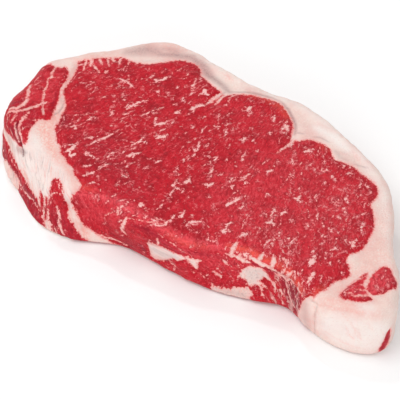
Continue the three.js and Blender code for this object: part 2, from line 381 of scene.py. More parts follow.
    # Painted shade in the creases, along the folds and at the wall's foot, with some lean darker of its own.
    DUSK = (
        Touch(wall_patch([
            (61, 19.4), (41, 19.6), (41.5, 11), (46, 3), (50, 3), (52, 11), (56, 17),
        ]), 0.72, 2),
        Touch(wall([(113.4, 14.6), (108, 15.8), (101.8, 16.4), (95, 16)], 0.7), 0.8, 0.5),
        Touch(wall([(68, 21), (60, 20.2), (54, 19), (48, 18), (42, 18)], 1.2), 0.85, 0.7),
        Touch(wall_patch([(131, 7), (118, 10), (113, 9), (112, 3), (128, 2)]), 0.3, 2.5),
        Touch(wall([(116, 8.6), (113.6, 6)], 2), 0.8, 1.2),
        Touch(wall([(176, 8.6), (168, 8.4), (164, 7.6)], 2), 0.75, 1.2),
        Touch(wall_patch([
            (200, 24), (196, 23), (189, 22.4), (189, 19.8), (197, 17), (202, 19),
        ]), 0.55, 1.4),
        Touch(wall([(112, 5.2), (106, 5.4), (102, 6.6)], 1), 0.7, 0.7),
        Touch(wall([(119.6, 19.4), (114.3, 19.6), (109.2, 20), (102, 18)], 2.4), 0.5, 1.8),
        Touch(wall([(100, 17.4), (90, 18.4), (80, 18), (74, 17)], 1.4), 0.35, 1.6),
        Touch(wall_patch([(206, 10), (176, 9), (160, 5), (158, -2), (206, -2)]), 0.42, 2),
        Touch(wall_patch([(158, 12), (152, 14), (146, 7), (140, 2), (146, -2), (156, -2)]), 0.35, 2.5),
        Touch(top([(-71, -12), (-67, -15), (-63, -17)], 3.5), 0.45, 2.5),
        Touch(top([(-75.4, 25.8), (-74, 23.6)], 0.8), 0.7, 0.4),
        Touch(top([(-72.6, 28.4), (-71.8, 26)], 0.7), 0.7, 0.4),
        Touch(top([(-78.8, 18.4), (-76.6, 17.4)], 0.6), 0.7, 0.4),
        Touch(top_patch([(-92, -15), (-80, -15), (-77, -22), (-80, -32), (-94, -24)]), 0.25, 2),
        Touch(wall_patch([(212, 36), (198, 36), (194, 23), (208, 22)]), 0.25, 2),
        Touch(top_patch([(-60, -20), (-30, -32), (-12, -35), (-20, -24), (-50, -9)]), 0.2, 8),
        Touch(top([(-81.6, -2.4), (-79, -6.6), (-77.8, -10.6)], 0.6), 0.6, 0.5),
        Touch(top([(-89.4, -14.4), (-90.6, -19.4)], 1.6), 0.6, 1),
        Touch(top([(80.4, -23.8), (82.4, -23.4)], 1.6), 0.4, 1),
        Touch(wall([(72, 10), (66, 8.6), (61, 8)], 1.4), 0.35, 1),
        Touch(wall([(6.6, 3), (4, 9)], 3), 0.35, 1),
    )
    # Painted shade on the fat and sinew: the cap's valley beside the lean, the creases and the membranes'
    # edges.
    MAUVE = (
        Touch(top([(-72, 33.6), (-68.6, 38), (-65, 41.2), (-59, 43)], 5), 0.7, 3),
        Touch(top([(-61, 44.6), (-55, 47), (-49, 48.2)], 3), 0.55, 2),
        Touch(top([(-84.6, 15), (-82.6, 8), (-81, 1)], 2.4), 0.25, 1.2),
        Touch(top([
            (-60, 41), (-54, 45.5), (-47, 48.2), (-39.5, 46.8), (-34, 43.2), (-26, 41.4), (-20.5, 40),
        ], 3.6), 0.8, 2),
        Touch(top([(-24, 40.6), (-17.5, 41.8), (-11, 45), (-5, 46.9), (0, 47.4)], 1.3), 0.7, 0.8),
        Touch(top([(-56, 43.5), (-50, 47), (-44, 48.6), (-38, 47)], 3), 0.4, 2.5),
        Touch(top([
            (0, 47.4), (5.5, 44.9), (9.4, 42.2), (12.2, 39.7), (14.4, 36.4), (15.4, 34.2),
        ], 1.2), 0.85, 0.7),
        Touch(top([(14.6, 35.4), (18.4, 36.4)], 0.7), 0.6, 0.5),
        Touch(top([(22.6, 37.4), (25, 38.8), (29.5, 38.6)], 0.8), 0.5, 0.6),
        Touch(top([(33.8, 36), (37.8, 33.4), (41, 34)], 2), 0.3, 1),
        Touch(top([(44.8, 34), (46.8, 34.8), (50.2, 35.4)], 0.7), 0.5, 0.5),
        Touch(top([(-22.8, 39.4), (-22.6, 35.4), (-22.8, 32)], 1), 0.7, 0.7),
        Touch(top([(-75.4, -4.6), (-74, -8.6), (-73.6, -11.6), (-74.6, -15)], 0.5), 0.9, 0.4),
        Touch(top([(-77.4, -4.4), (-75.4, -7)], 0.8), 0.5, 0.5),
        Touch(wall([(191, 18.6), (187.6, 19.4), (183, 23)], 2.6), 0.75, 1.4),
        Touch(wall([(205, 13), (196, 14.6), (190, 16)], 2), 0.35, 1.4),
        Touch(top([(-81.2, -12.2), (-79.6, -14.6)], 1.6), 0.8, 0.8),
        Touch(wall([(111, 9.4), (105.4, 10.4), (102, 11.6), (97, 13)], 3.4), 0.4, 1.6),
        Touch(wall_patch([(71, 16), (61, 20), (61, 13), (68, 9)]), 0.3, 1.5),
        Touch(wall([(82, 2), (74, 3), (68, 3)], 3), 0.4, 2),
        Touch(wall([(112.6, 12.2), (105, 14.6), (98, 15.4)], 0.8), 0.75, 0.5),
        Touch(wall([(39, 20), (38.4, 12.4), (37.4, 4)], 4), 0.4, 2.4),
        Touch(wall([(168, 20), (165.6, 16.8)], 0.5), 0.8, 0.4),
        Touch(wall([(164, 20.6), (163, 17.6)], 0.5), 0.8, 0.4),
        Touch(wall([(171.6, 22), (171, 19.4)], 0.4), 0.7, 0.4),
        Touch(wall([(152, 24), (149, 19), (148, 13)], 1.4), 0.25, 1),
    )
    BLUSH = (
        Touch(top([(70, 20), (76, 8), (79, -4), (77, -14), (74.6, -26)], 9, 0.8), 0.32, 5),
        Touch(top([(-60, 46.5), (-52, 50)], 3), 0.35, 2),
        Touch(top([(-29.5, 48), (-24.5, 46.4)], 2.6), 0.4, 1.6),
        Touch(top([(-86, 15), (-80, 24), (-74, 30)], 5), 0.4, 3),
        Touch(top([(-85, 16), (-82.6, 8), (-80.8, 1)], 3), 0.45, 1.5),
        Touch(top([(42.5, 38.6), (45, 36.8)], 1.6), 0.4, 1),
        Touch(top_patch([
            (-77, -16), (-72, -10), (-70, -16), (-66, -24), (-58, -31), (-53, -36), (-64, -32), (-70, -28),
            (-76, -24),
        ]), 0.75, 2.4),
        Touch(top([(-58, -31), (-50, -35.5), (-42, -40)], 1.6, 0.8), 0.55, 1.4),
        Touch(wall([
            (40, 22.6), (34, 21.4), (30.4, 22.8), (27, 22), (22, 24), (14.6, 24.4),
        ], 1.4), 0.5, 1.6),
        Touch(wall([(34, 24.4), (30, 26), (27, 25)], 1.8), 0.5, 1.6),
        Touch(wall([(31, 26.4), (24, 27.4), (17, 26.4)], 2.4), 0.45, 1.6),
        Touch(wall([(17, 14.6), (15.8, 11.9), (14.5, 8.9)], 1), 0.4, 1.2),
        Touch(wall([(12.4, 18), (10.7, 14.4)], 0.9), 0.3, 1.2),
        Touch(wall([(34.6, 20.6), (33.3, 16.4), (34.4, 9.5), (32, 4)], 0.7), 0.6, 0.9),
        Touch(wall([
            (23, 20.6), (19.6, 17), (16.9, 13.1), (17.3, 8.4), (19.8, 9.7), (20.9, 14),
        ], 0.5), 0.5, 0.7),
        Touch(wall([(37, 22.4), (33, 21.8), (29, 23), (25, 22.4), (20, 23.6), (15, 23)], 0.5), 0.6, 0.6),
        Touch(wall([(33, 22), (33.6, 17), (35.4, 11), (34.2, 5), (32, 2)], 1), 0.35, 1.6),
        Touch(wall([(39, 17.6), (37, 11.7), (35.8, 5)], 3.4), 0.35, 2.4),
        Touch(wall([(30, 8), (22, 5), (15, 4.4)], 0.8), 0.35, 0.8),
        Touch(wall([(203, 12.8), (196, 13.4), (188, 14)], 1.4), 0.3, 1.4),
        Touch(wall([(179.7, 15), (175.6, 13.2), (172.6, 11.8)], 2.4), 0.85, 1.3),
        Touch(wall([(186, 1.6), (180, 1.4)], 2.4), 0.7, 1.6),
        Touch(wall([(161, 33), (150, 31), (147, 25), (146, 16)], 2), 0.3, 2),
        Touch(wall([(142.6, 9), (139.6, 3), (141, 0)], 2.4), 0.9, 1.3),
    )
    STRANDS = (
        Touch(wall_patch([(58, 18), (55, 19.6), (41, 20), (41.5, 8), (43, -2), (58, -2)]), 1, 2),
    )
    SINEW = (
        Touch(wall_patch([(112, 3), (90, 4), (90, 19), (112, 16)]), 0.6, 2),
        Touch(wall_patch([
            (184, 25), (178, 31), (160, 32), (146, 30), (140, 4), (150, -2), (206, 4), (204, 12), (190, 17),
        ]), 1, 2),
        Touch(wall_patch([(58, 21), (40, 22), (42, -2), (58, -2)]), 1, 2),
        Touch(wall_patch([(76, 19), (62, 20), (62, -2), (84, -2), (82, 6)]), 1, 2),
    )
    # Pearly white of the sinew, membranes and tail wall, and a painted highlight along the fat cap's crest.
    PEARL = (
        Touch(wall_patch([
            (192, 34), (180, 33), (160, 34), (148, 31), (148, 10), (166, 12), (200, 13), (196, 22),
        ]), 0.55, 3),
        Touch(wall_patch([(113, 11), (98, 16), (94, 13), (108, 6)]), 0.6, 1),
        Touch(wall_patch([(71, 16), (61, 20), (61, 13), (68, 9)]), 0.25, 1.5),
        Touch(wall_patch([(32, 20), (10, 21), (2, 16), (2, 3), (32, 3)]), 0.62, 4),
        Touch(top([(90, -26), (84, -29)], 4), 0.5, 3),
        Touch(top([(-46, 52), (-20, 49), (10, 50), (40, 42), (62, 28), (80, 4)], 4, 0.8), 0.45, 3),
        Touch(top([(20, 42.6), (30, 42), (39, 39.4)], 5), 0.8, 3),
    )

    TINTS = {
        "bloom": BLOOM,
        "ember": EMBER,
        "dusk": DUSK,
        "strands": STRANDS,
        "mauve": MAUVE,
        "blush": BLUSH,
        "sinew": SINEW,
        "pearl": PEARL,
    }

    # Furrows and folds: how far the skin sinks or rises there.
    FOLDS = (
        Touch(wall([
            (199.8, 26), (198.4, 23.7), (195.5, 22.5), (190, 21.9), (185.5, 21.2), (183, 20),
        ], 1.1, 0.5), -1.6, 0.8),
        Touch(wall([(199, 24.2), (193, 24.6), (188, 25)], 2.4), 0.7, 1.4),
        Touch(wall([(190, 18), (184, 18.4), (179, 19)], 3), 0.5, 2),
        Touch(top([(-75.4, -4.6), (-73.9, -8.4), (-73.6, -11.4), (-74.4, -14.6)], 0.5), -0.6, 0.6),
        Touch(wall([(62, 19.8), (57, 19.2), (50, 18.8), (43, 18.6)], 0.9), -0.8, 0.7),
        Touch(wall([(112, 5.2), (106, 5), (100, 8), (95, 11.6)], 0.7), -0.5, 0.6),
        Touch(wall([(114, 13), (108, 15.6), (98, 16.4), (91, 16)], 0.8), -0.5, 0.6),
        Touch(wall([(90, 18.8), (80, 18.6), (72, 18)], 0.8), -0.4, 0.8),
        Touch(wall([(147, 22), (146.6, 16), (144.4, 10), (140, 5.6)], 0.8), -0.5, 0.6),
        Touch(wall([(161.6, 24), (159.6, 18), (159.4, 10), (157, 3)], 0.8), -0.5, 0.6),
        Touch(wall([(196, 12.6), (184, 12.6), (172, 11)], 0.8), -0.4, 0.7),
        Touch(wall([(199, 6), (190, 6.4), (178, 5)], 0.8), -0.5, 0.7),
        Touch(top([
            (0, 47.6), (5.5, 45.1), (9.4, 42.4), (12.2, 39.9), (14.4, 36.6), (15.5, 33.8),
        ], 0.9), -0.55, 0.8),
        Touch(top([(-24, 40.8), (-17.5, 42.2), (-11, 45.3), (-5, 47)], 0.9), -0.4, 0.8),
        Touch(wall([(35, 24), (33.4, 15), (34.2, 4)], 0.8), -0.45, 1.3),
        Touch(wall([(38, 22), (33, 21.6), (29, 22.8), (25, 22.2), (20, 23.4)], 0.6), -0.3, 0.9),
        Touch(wall([(30, 19), (29, 12), (30.4, 5)], 2), 0.3, 2.2),
        Touch(wall([(24, 20), (22.4, 13), (20, 8), (21, 3)], 1.4), -0.3, 1.8),
        Touch(wall([(17, 19), (15.4, 12), (16.4, 5)], 1.6), 0.35, 2),
        Touch(wall([(11.6, 18), (11, 11), (9, 4)], 1.4), -0.3, 1.8),
        Touch(wall([(182, 1), (187, 2.6)], 4), 0.7, 2.4),
        Touch(wall_patch([(177, -3), (160, -3), (152, 1), (162, 8), (176, 7)]), -1.2, 3.4),
        Touch(wall([(30, 24), (20, 24.4), (8, 23.6)], 1), -0.3, 1),
    )

    # The way the sinew's fibres run, down from the top face and round into the wall.
    FIBRES = (
        Fibres(
            [(196, 37), (185, 32.5), (175, 27.5), (167, 21), (161, 12), (157.5, 3), (156, -4)], 130, 212, 44
        ),
        Fibres([(64, 24), (60, 19), (56, 12), (53, 5), (51, -2)], 34, 60, 21.5),
    )

    # Marbling large enough to be told apart: each fleck's ends, with a bend between where there is one, and
    # its width.
    FLECKS = (
        ((-63.9, 18.2), (-60, 18.7), (-54.9, 17.7), 2), ((-75.9, 7.9), (-74.8, 6.4), 1.5),
        ((-75.9, 5.2), (-76.6, 2), 0.8), ((-71.2, 10.8), (-73, 10), 1.1), ((-61.6, 6.2), (-61.8, 5.2), 1.3),
        ((-60.6, 8.2), (-59, 8.4), 1.2), ((-53.8, 1.3), (-53.1, -0.2), (-53.8, -2.9), 1.1),
        ((-57.8, -5.4), (-58.8, -7.6), (-60.2, -9.2), 1.5), ((-54.2, 10), (-54.3, 8.8), 1.4),
        ((-57, 12.6), (-56.8, 10.8), 1), ((-50.9, 34.6), (-51, 31.3), 0.8),
        ((-46.4, 32.7), (-48, 29.4), (-50.2, 25.3), 2.5), ((-45.7, 39.2), (-46, 36.2), 1.1),
        ((-40.8, 39.2), (-41.3, 36.2), 0.8), ((-35.9, 39.9), (-34.6, 37.5), (-34.3, 36), 1.2),
        ((-35.9, 35), (-35.3, 31.6), (-33.6, 31), 1.6), ((-33.8, 31.6), (-33.4, 29.4), (-33, 27), 1.3),
        ((-30.5, 34), (-29, 32.2), (-27.7, 31.6), 3.1), ((-40.3, 29.6), (-39.9, 27.4), 1),
        ((-41.1, 24.6), (-41.6, 22.4), 1.4), ((-38.4, 21.8), (-37.9, 20.8), 1.2),
        ((-36.7, 20), (-35, 18.5), (-33.8, 19.5), 1), ((-33.2, 24.6), (-33.8, 22.2), 1.3),
        ((-30.8, 25.2), (-30.8, 22.6), 0.9), ((-23.9, 26.1), (-26.2, 24.9), (-27.4, 22), (-28.2, 20), 2.2),
        ((-32.3, 17.2), (-31.4, 14.9), 1.8), ((-29.8, 13.4), (-30.4, 11.4), 1.1),
        ((-29.3, 11.2), (-29.8, 7.7), 1), ((-31.2, 9.7), (-33.4, 5.3), (-35.5, 3.9), 2.1),
        ((-37, 8.4), (-35.7, 5.8), 1.4), ((-47.1, 13.6), (-49.1, 9.2), (-50.1, 5.2), 2),
        ((-50, 3.4), (-48.2, 2.6), 1.3), ((-46.2, 3), (-45.8, 2), 1.3),
        ((-40, 12.2), (-41.2, 8.6), (-43.2, 5), 1), ((-45.4, 22.4), (-45.8, 20.6), 1.5),
        ((-44.5, 21), (-44, 19.8), 1), ((-21, 14.4), (-21.8, 11.4), 1.1),
        ((-17.1, 16.2), (-16.9, 13.6), (-16.4, 11), 1), ((-16.6, 25.8), (-15.7, 21.8), 1.2),
        ((-10, 23.6), (-10.8, 21.2), 2), ((-12.1, 19.8), (-13.2, 18), 2),
        ((-9.5, 20.4), (-8.3, 18.2), (-7.1, 16), 1.5), ((-7.6, 37.2), (-9, 33.8), 2),
        ((-7.2, 35), (-5.6, 31.4), 1.2), ((-9.8, 33.2), (-9.2, 32.4), 1),
        ((-14.3, 8), (-12.3, 4), (-11.4, 0), (-11.3, -2.6), 1.3),
        ((-26.8, 3.1), (-28, 0.3), (-29.8, -1.7), 2.1), ((-24, 4.4), (-24.2, 0), 0.8),
        ((-6.4, 43), (-5.3, 41.2), 1.2), ((2.6, 38.8), (3.8, 36.3), (4, 34.6), 1.7),
        ((8.8, 39.4), (9.2, 35.5), (10, 32), (11.8, 30), 1.6), ((11, 37.2), (10.5, 33.2), 2.3),
        ((13.7, 31.6), (14.8, 30.8), 1), ((6.2, 29.6), (7.8, 27.3), 1.3), ((-0.6, 27.2), (-0.8, 25.2), 1.2),
        ((0.1, 20.6), (0.4, 16.8), 2), ((3.8, 22), (4.3, 19.6), 1.3), ((-2.8, 13.8), (-2.2, 10.2), 1.3),
        ((2.6, 12.7), (3.6, 10.3), 0.9), ((5, 14), (5.4, 10.5), (7, 7.2), 1.5),
        ((-2.9, 4.4), (-2.9, 1.3), 1.7), ((-6.2, 3), (-6.2, 2), 1.3), ((-4.8, -0.2), (-3.4, 0.4), 1.4),
        ((13.7, 4), (12.7, 1.3), (11.8, -2.4), 1.8), ((7.6, 17.8), (8.6, 15.8), 1),
        ((18.2, 17.4), (19.2, 16), 1.4), ((19.8, 11), (18.2, 8.2), 1.8),
        ((22.2, 21.2), (23.8, 19.4), (25.1, 17.7), 1.3), ((27, 31.4), (25.8, 28.6), (24, 26.8), 1.7),
        ((37.3, 25), (38, 23.4), 2), ((26, 14.2), (27.4, 12.3), 1.1),
        ((36.3, 6.2), (36.5, 4.6), (37, 2.6), 2.2), ((41.3, 24), (41.3, 21.4), (44, 20.5), 1.2),
        ((40.4, 18), (41.2, 16.2), 1.6), ((45.2, 26.2), (45.8, 28), (47.6, 28.4), 1.4),
        ((41.2, 30.2), (42.6, 29.4), 1.7), ((43.6, 31.4), (45, 30.6), 1.2), ((52.6, 26.6), (53.5, 22.8), 1),
        ((54.6, 25.6), (56.3, 26), 1.3), ((51.4, 17.5), (53.2, 13), 1.7), ((53.8, 11.6), (55.5, 8.4), 1.8),
        ((49.5, 13.2), (49.8, 9.6), (52.2, 10.4), 1), ((41.6, 10.5), (42.4, 6.8), 1.5),
        ((62.8, 13.6), (61.2, 10.8), (60, 8.4), 1.2), ((64.8, 8.6), (65.3, 5.8), (66.2, 2.8), 1.9),
        ((55.3, 6), (55.5, 4.6), 1.4), ((66.4, -1.2), (67.2, -4), (67.9, -6.4), 2.2),
        ((47.2, 2.8), (47.5, 0.2), (48.5, -1.2), 0.9), ((56.1, -0.2), (56.5, -2.5), (57.5, -4.4), 1),
        ((47.2, -4.2), (48, -8), 1.2), ((39.6, -5.4), (41.4, -8.8), 1), ((36.3, -3.3), (35.5, -8), 1.8),
        ((54.5, -5.8), (55.2, -7.8), 1.6),
        ((-45.6, -5.8), (-46.4, -10.2), (-48.1, -14.4), (-51.4, -21.8), 1.7),
        ((-34.7, -1.4), (-34.2, -6.5), (-36.4, -11.8), 1.6), ((-32.9, -5.4), (-31.8, -6.2), 1.4),
        ((-30.6, -11.7), (-32.4, -14.4), (-34, -17.4), 2.1), ((-39.1, -17.6), (-40.3, -21.8), 1.6),
        ((-50.2, -23.2), (-48.6, -25.2), (-45, -24.9), (-42, -25.1), 1.6),
        ((-37.2, -23.5), (-39.3, -29.3), 1.5), ((-39.4, -30.6), (-41.7, -33.8), 1.6),
        ((-37.9, -31.3), (-36.2, -32.4), (-35.1, -34.3), 1.2),
        ((-55.4, -21.2), (-55, -24.6), (-56.4, -28.8), 2.4), ((-58, -25.2), (-59.4, -27.3), 1.2),
        ((-51.3, -27.4), (-53.7, -30), 2.4), ((-43, -28.6), (-45.1, -31.5), 1.3),
        ((-51.7, -15.6), (-54, -19.2), 1.3), ((-62.6, -14), (-62, -15.6), 2.2),
        ((-65.8, -16), (-64.8, -17), 1.2), ((-68.2, -16.6), (-67, -17.6), 1.1),
        ((-70.2, -12.4), (-68.8, -14.4), 0.8), ((-40.6, -9.8), (-39.2, -9.2), 1.3),
        ((-30.1, -20.4), (-29.9, -22.2), 1.2), ((-27.4, -26.4), (-26.4, -25.2), 1.8),
        ((-13.2, -1.8), (-12.2, -3.8), 1.2), ((-13.8, -4.2), (-13.2, -5.8), 1.4),
        ((-13.2, -9), (-12.2, -12.6), 1.3), ((-20.2, -10.2), (-21.9, -13.2), 1.4),
        ((-22.3, -15.8), (-24.2, -19.2), 1.3), ((-1.3, -0.8), (-0.4, -3.8), (-0.2, -7), 1.7),
        ((-5.5, -11.9), (-4.9, -15.9), 2.1), ((-9.2, -16.1), (-8.4, -19.2), (-4, -19.4), 1.4),
        ((-4.4, -18.2), (-2.8, -20.8), 1.2), ((-7, -19.4), (-7, -23), (-6.6, -26.2), 1.4),
        ((4, -8.2), (3.1, -12.2), 2.2), ((8.4, -1.5), (9.4, -4.6), 1.6), ((11.4, -4.8), (11, -7), 2),
        ((6.1, -14.4), (7, -16.5), 1.1), ((17.4, -8.2), (16.8, -11.6), (14.4, -15.4), 2.2),
        ((13, -27.4), (10.8, -28.8), (7.7, -31), (7.9, -34), 1.9), ((13.4, -32.4), (13.2, -34), 1.2),
        ((2.9, -27), (3.5, -30.4), (2.6, -32.6), 1.7),
        ((1.1, -30.8), (0.9, -34.6), (0, -37.7), (-3.1, -39.4), (-6, -42), 1.9),
        ((-4.2, -35.8), (-3.2, -37.2), 1.6), ((-7.9, -37.4), (-9.2, -39.4), 1.3),
        ((-13.4, -33.3), (-13.9, -34.6), (-12.5, -36), 1.7), ((-6.1, -28.6), (-6.6, -33), 1),
        ((-25.3, -35), (-25, -37.6), 1.3), ((-20, -40), (-18.7, -44.4), 1.4), ((24.6, -0.4), (26, -2), 1.6),
        ((31.7, -4.2), (32, -7.7), (33.4, -11.4), 1.2), ((33.4, -11.2), (34.4, -13.9), 2.7),
        ((21, -11.2), (20.3, -14.2), 1.4), ((29, -10), (30.2, -10.8), 1.5),
        ((22.2, -21.6), (20.2, -24.5), 1.8), ((24, -26), (21.9, -27.5), (20.6, -26.2), 2.3),
        ((30.4, -22.4), (28.3, -26.2), 2), ((39.3, -20), (38.6, -25), 1.4), ((40.3, -14.2), (41.4, -18), 1),
        ((47.2, -12.4), (46.9, -16.5), (46.4, -19), 1.3), ((55.6, -14.6), (56.6, -16.6), 1.3),
        ((58, -16), (58.5, -20.6), (59.8, -24), 2.7), ((62.2, -24), (62.7, -27.4), (64, -31.2), 2.4),
        ((64, -16), (65.4, -18), 1.5), ((49, -24.2), (50.8, -27), (52, -29.2), 1.5),
        ((44, -25.4), (45.8, -27.6), (47, -30.6), 1.9), ((40.6, -26.8), (42, -32), 2),
        ((54.8, -28.4), (56.6, -32.4), 1.7), ((57.9, -26), (57.4, -28), 1.3),
        ((61.6, -9), (62.8, -10.4), 1.8), ((28.8, -30), (30.4, -34.6), (31.8, -36.6), 2.4),
        ((33.2, -32.3), (36.2, -35.2), (38.4, -33.6), 2), ((70, -18.6), (71.8, -18.4), 1.4),
        ((21.5, -32.6), (21.3, -34.6), 1.1), ((15.6, -0.6), (14, -1.8), 1.3),
    )


def smoothstep(low: float, high: float, values: np.ndarray) -> np.ndarray:
    """Returns numbers that ease from 0, where the values are low, to 1, where they are high."""
    share = np.clip((values - low) / (high - low), 0.0, 1.0)
    return share * share * (3.0 - 2.0 * share)


def softened(border: Route, times: int) -> np.ndarray:
    """Cuts the corners of a closed border.

    Args:
        border: its points.
        times: how often the corners are cut.

    Returns:
        The softened points, in rows.
    """
    points = np.array(border, float)
    for _ in range(times):
        following = np.roll(points, -1, axis=0)
        quarter = 0.25 * (following - points)
        points = np.stack([points + quarter, following - quarter], 1).reshape(-1, 2)
    return points


@dataclass
class Nearest:
    """The nearest place on a route, for each point."""

    gap: np.ndarray
    along: np.ndarray
    side: np.ndarray
    length: float


def nearest_on(route: np.ndarray, points: np.ndarray) -> Nearest:
    """Finds the nearest place on a route.

    Args:
        route: the route's points, in rows.
        points: the points to place, in rows.

    Returns:
        The gap to the route, the length along it, the side (1 on its left) and the whole length.
    """
    gap = np.full(len(points), np.inf)
    along = np.zeros(len(points))
    side = np.ones(len(points))
    run = 0.0
    for start, end in zip(route[:-1], route[1:]):
        step = end - start
        length = float(np.hypot(*step))
        offset = points - start
        share = np.clip(offset @ step / length**2, 0.0, 1.0)
        here = np.hypot(offset[:, 0] - share * step[0], offset[:, 1] - share * step[1])
        nearer = here < gap
        gap = np.where(nearer, here, gap)
        along = np.where(nearer, run + share * length, along)
        side = np.where(nearer, np.sign(step[0] * offset[:, 1] - step[1] * offset[:, 0]), side)
        run += length
    return Nearest(gap, along, side, run)


def is_within(border: np.ndarray, points: np.ndarray) -> np.ndarray:
    """Tells which points lie inside a closed border.

    Args:
        border: the border's points, in rows.
        points: the points to test, in rows.

    Returns:
        True for each point inside.
    """
    inside = np.zeros(len(points), bool)
    for (ax, ay), (bx, by) in zip(border, np.roll(border, -1, axis=0)):
        if ay == by:
            continue
        crossing = (ay > points[:, 1]) != (by > points[:, 1])
        inside ^= crossing & (points[:, 0] < ax + (points[:, 1] - ay) * (bx - ax) / (by - ay))
    return inside


class Waves:
    """Smooth seeded unevenness: many plane waves of about one length, added up."""

    def __init__(self, seed: int, length: float, count: int = 48) -> None:
        """Draws the waves.

        Args:
            seed: the random seed.
            length: the middle wave length, in mm.
            count: how many waves are added.
        """
        rng = np.random.default_rng(seed)
        directions = rng.normal(size=(count, 3))
        directions /= np.linalg.norm(directions, axis=1, keepdims=True)
        self.numbers = directions * (2 * math.pi / (length * rng.uniform(0.6, 1.7, (count, 1))))
        self.phases = rng.uniform(0, 2 * math.pi, count)
        self.scale = math.sqrt(2.0 / count)

    def at(self, points: np.ndarray) -> np.ndarray:
        """Adds up the waves.

        Args:
            points: x, y and z in mm, in rows.

        Returns:
            The height of the waves at each point, mostly from -2 to 2.
        """
        total = np.zeros(len(points))
        for number, phase in zip(self.numbers, self.phases):
            total += np.cos(points @ number + phase)
        return total * self.scale


class Rim:
    """The outline of the wall at mid height, from the tip of the tail, clockwise seen from above."""

    LEVEL = 12.0

    def __init__(self, node: bpy.types.Object) -> None:
        """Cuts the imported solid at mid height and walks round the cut.

        Args:
            node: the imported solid.
        """
        cut = bmesh.new()
        cut.from_mesh(node.data)
        bmesh.ops.remove_doubles(cut, verts=cut.verts, dist=1e-6)
        whole = cut.verts[:] + cut.edges[:] + cut.faces[:]
        found = bmesh.ops.bisect_plane(cut, geom=whole, plane_co=(0, 0, self.LEVEL * MM), plane_no=(0, 0, 1))
        edges = [part for part in found["geom_cut"] if isinstance(part, bmesh.types.BMEdge)]
        self.loop = self._walk(edges)
        cut.free()
        steps = np.roll(self.loop, -1, axis=0) - self.loop
        self.length = float(np.hypot(*steps.T).sum())

    @staticmethod
    def _walk(edges: list[bmesh.types.BMEdge]) -> np.ndarray:
        """Puts the cut's points in order.

        Args:
            edges: the edges of the cut, in any order.

        Returns:
            The points in mm, clockwise from the one with the greatest x.
        """
        neighbours: dict[int, list[bmesh.types.BMVert]] = {}
        for edge in edges:
            first, second = edge.verts
            neighbours.setdefault(first.index, []).append(second)
            neighbours.setdefault(second.index, []).append(first)
        start = max((vert for edge in edges for vert in edge.verts), key=lambda vert: vert.co.x)
        order = [start]
        before, here = start, neighbours[start.index][0]
        while here is not start:
            order.append(here)
            before, here = here, next(vert for vert in neighbours[here.index] if vert is not before)
        loop = np.array([(vert.co.x, vert.co.y) for vert in order]) / MM
        following = np.roll(loop, -1, axis=0)
        turn = (loop[:, 0] * following[:, 1] - following[:, 0] * loop[:, 1]).sum()
        return loop if turn < 0 else np.vstack([loop[:1], loop[:0:-1]])

    def unroll(self, points: np.ndarray) -> tuple[np.ndarray, np.ndarray]:
        """Finds each point's place along and up the rim.

        Args:
            points: x, y and z in mm, in rows.

        Returns:
            s and h of each point.
        """
        closed = np.vstack([self.loop, self.loop[:1]])
        near = nearest_on(closed, points[:, :2])
        inset = np.where(near.side < 0, near.gap, 0.0)
        return near.along, points[:, 2] + inset


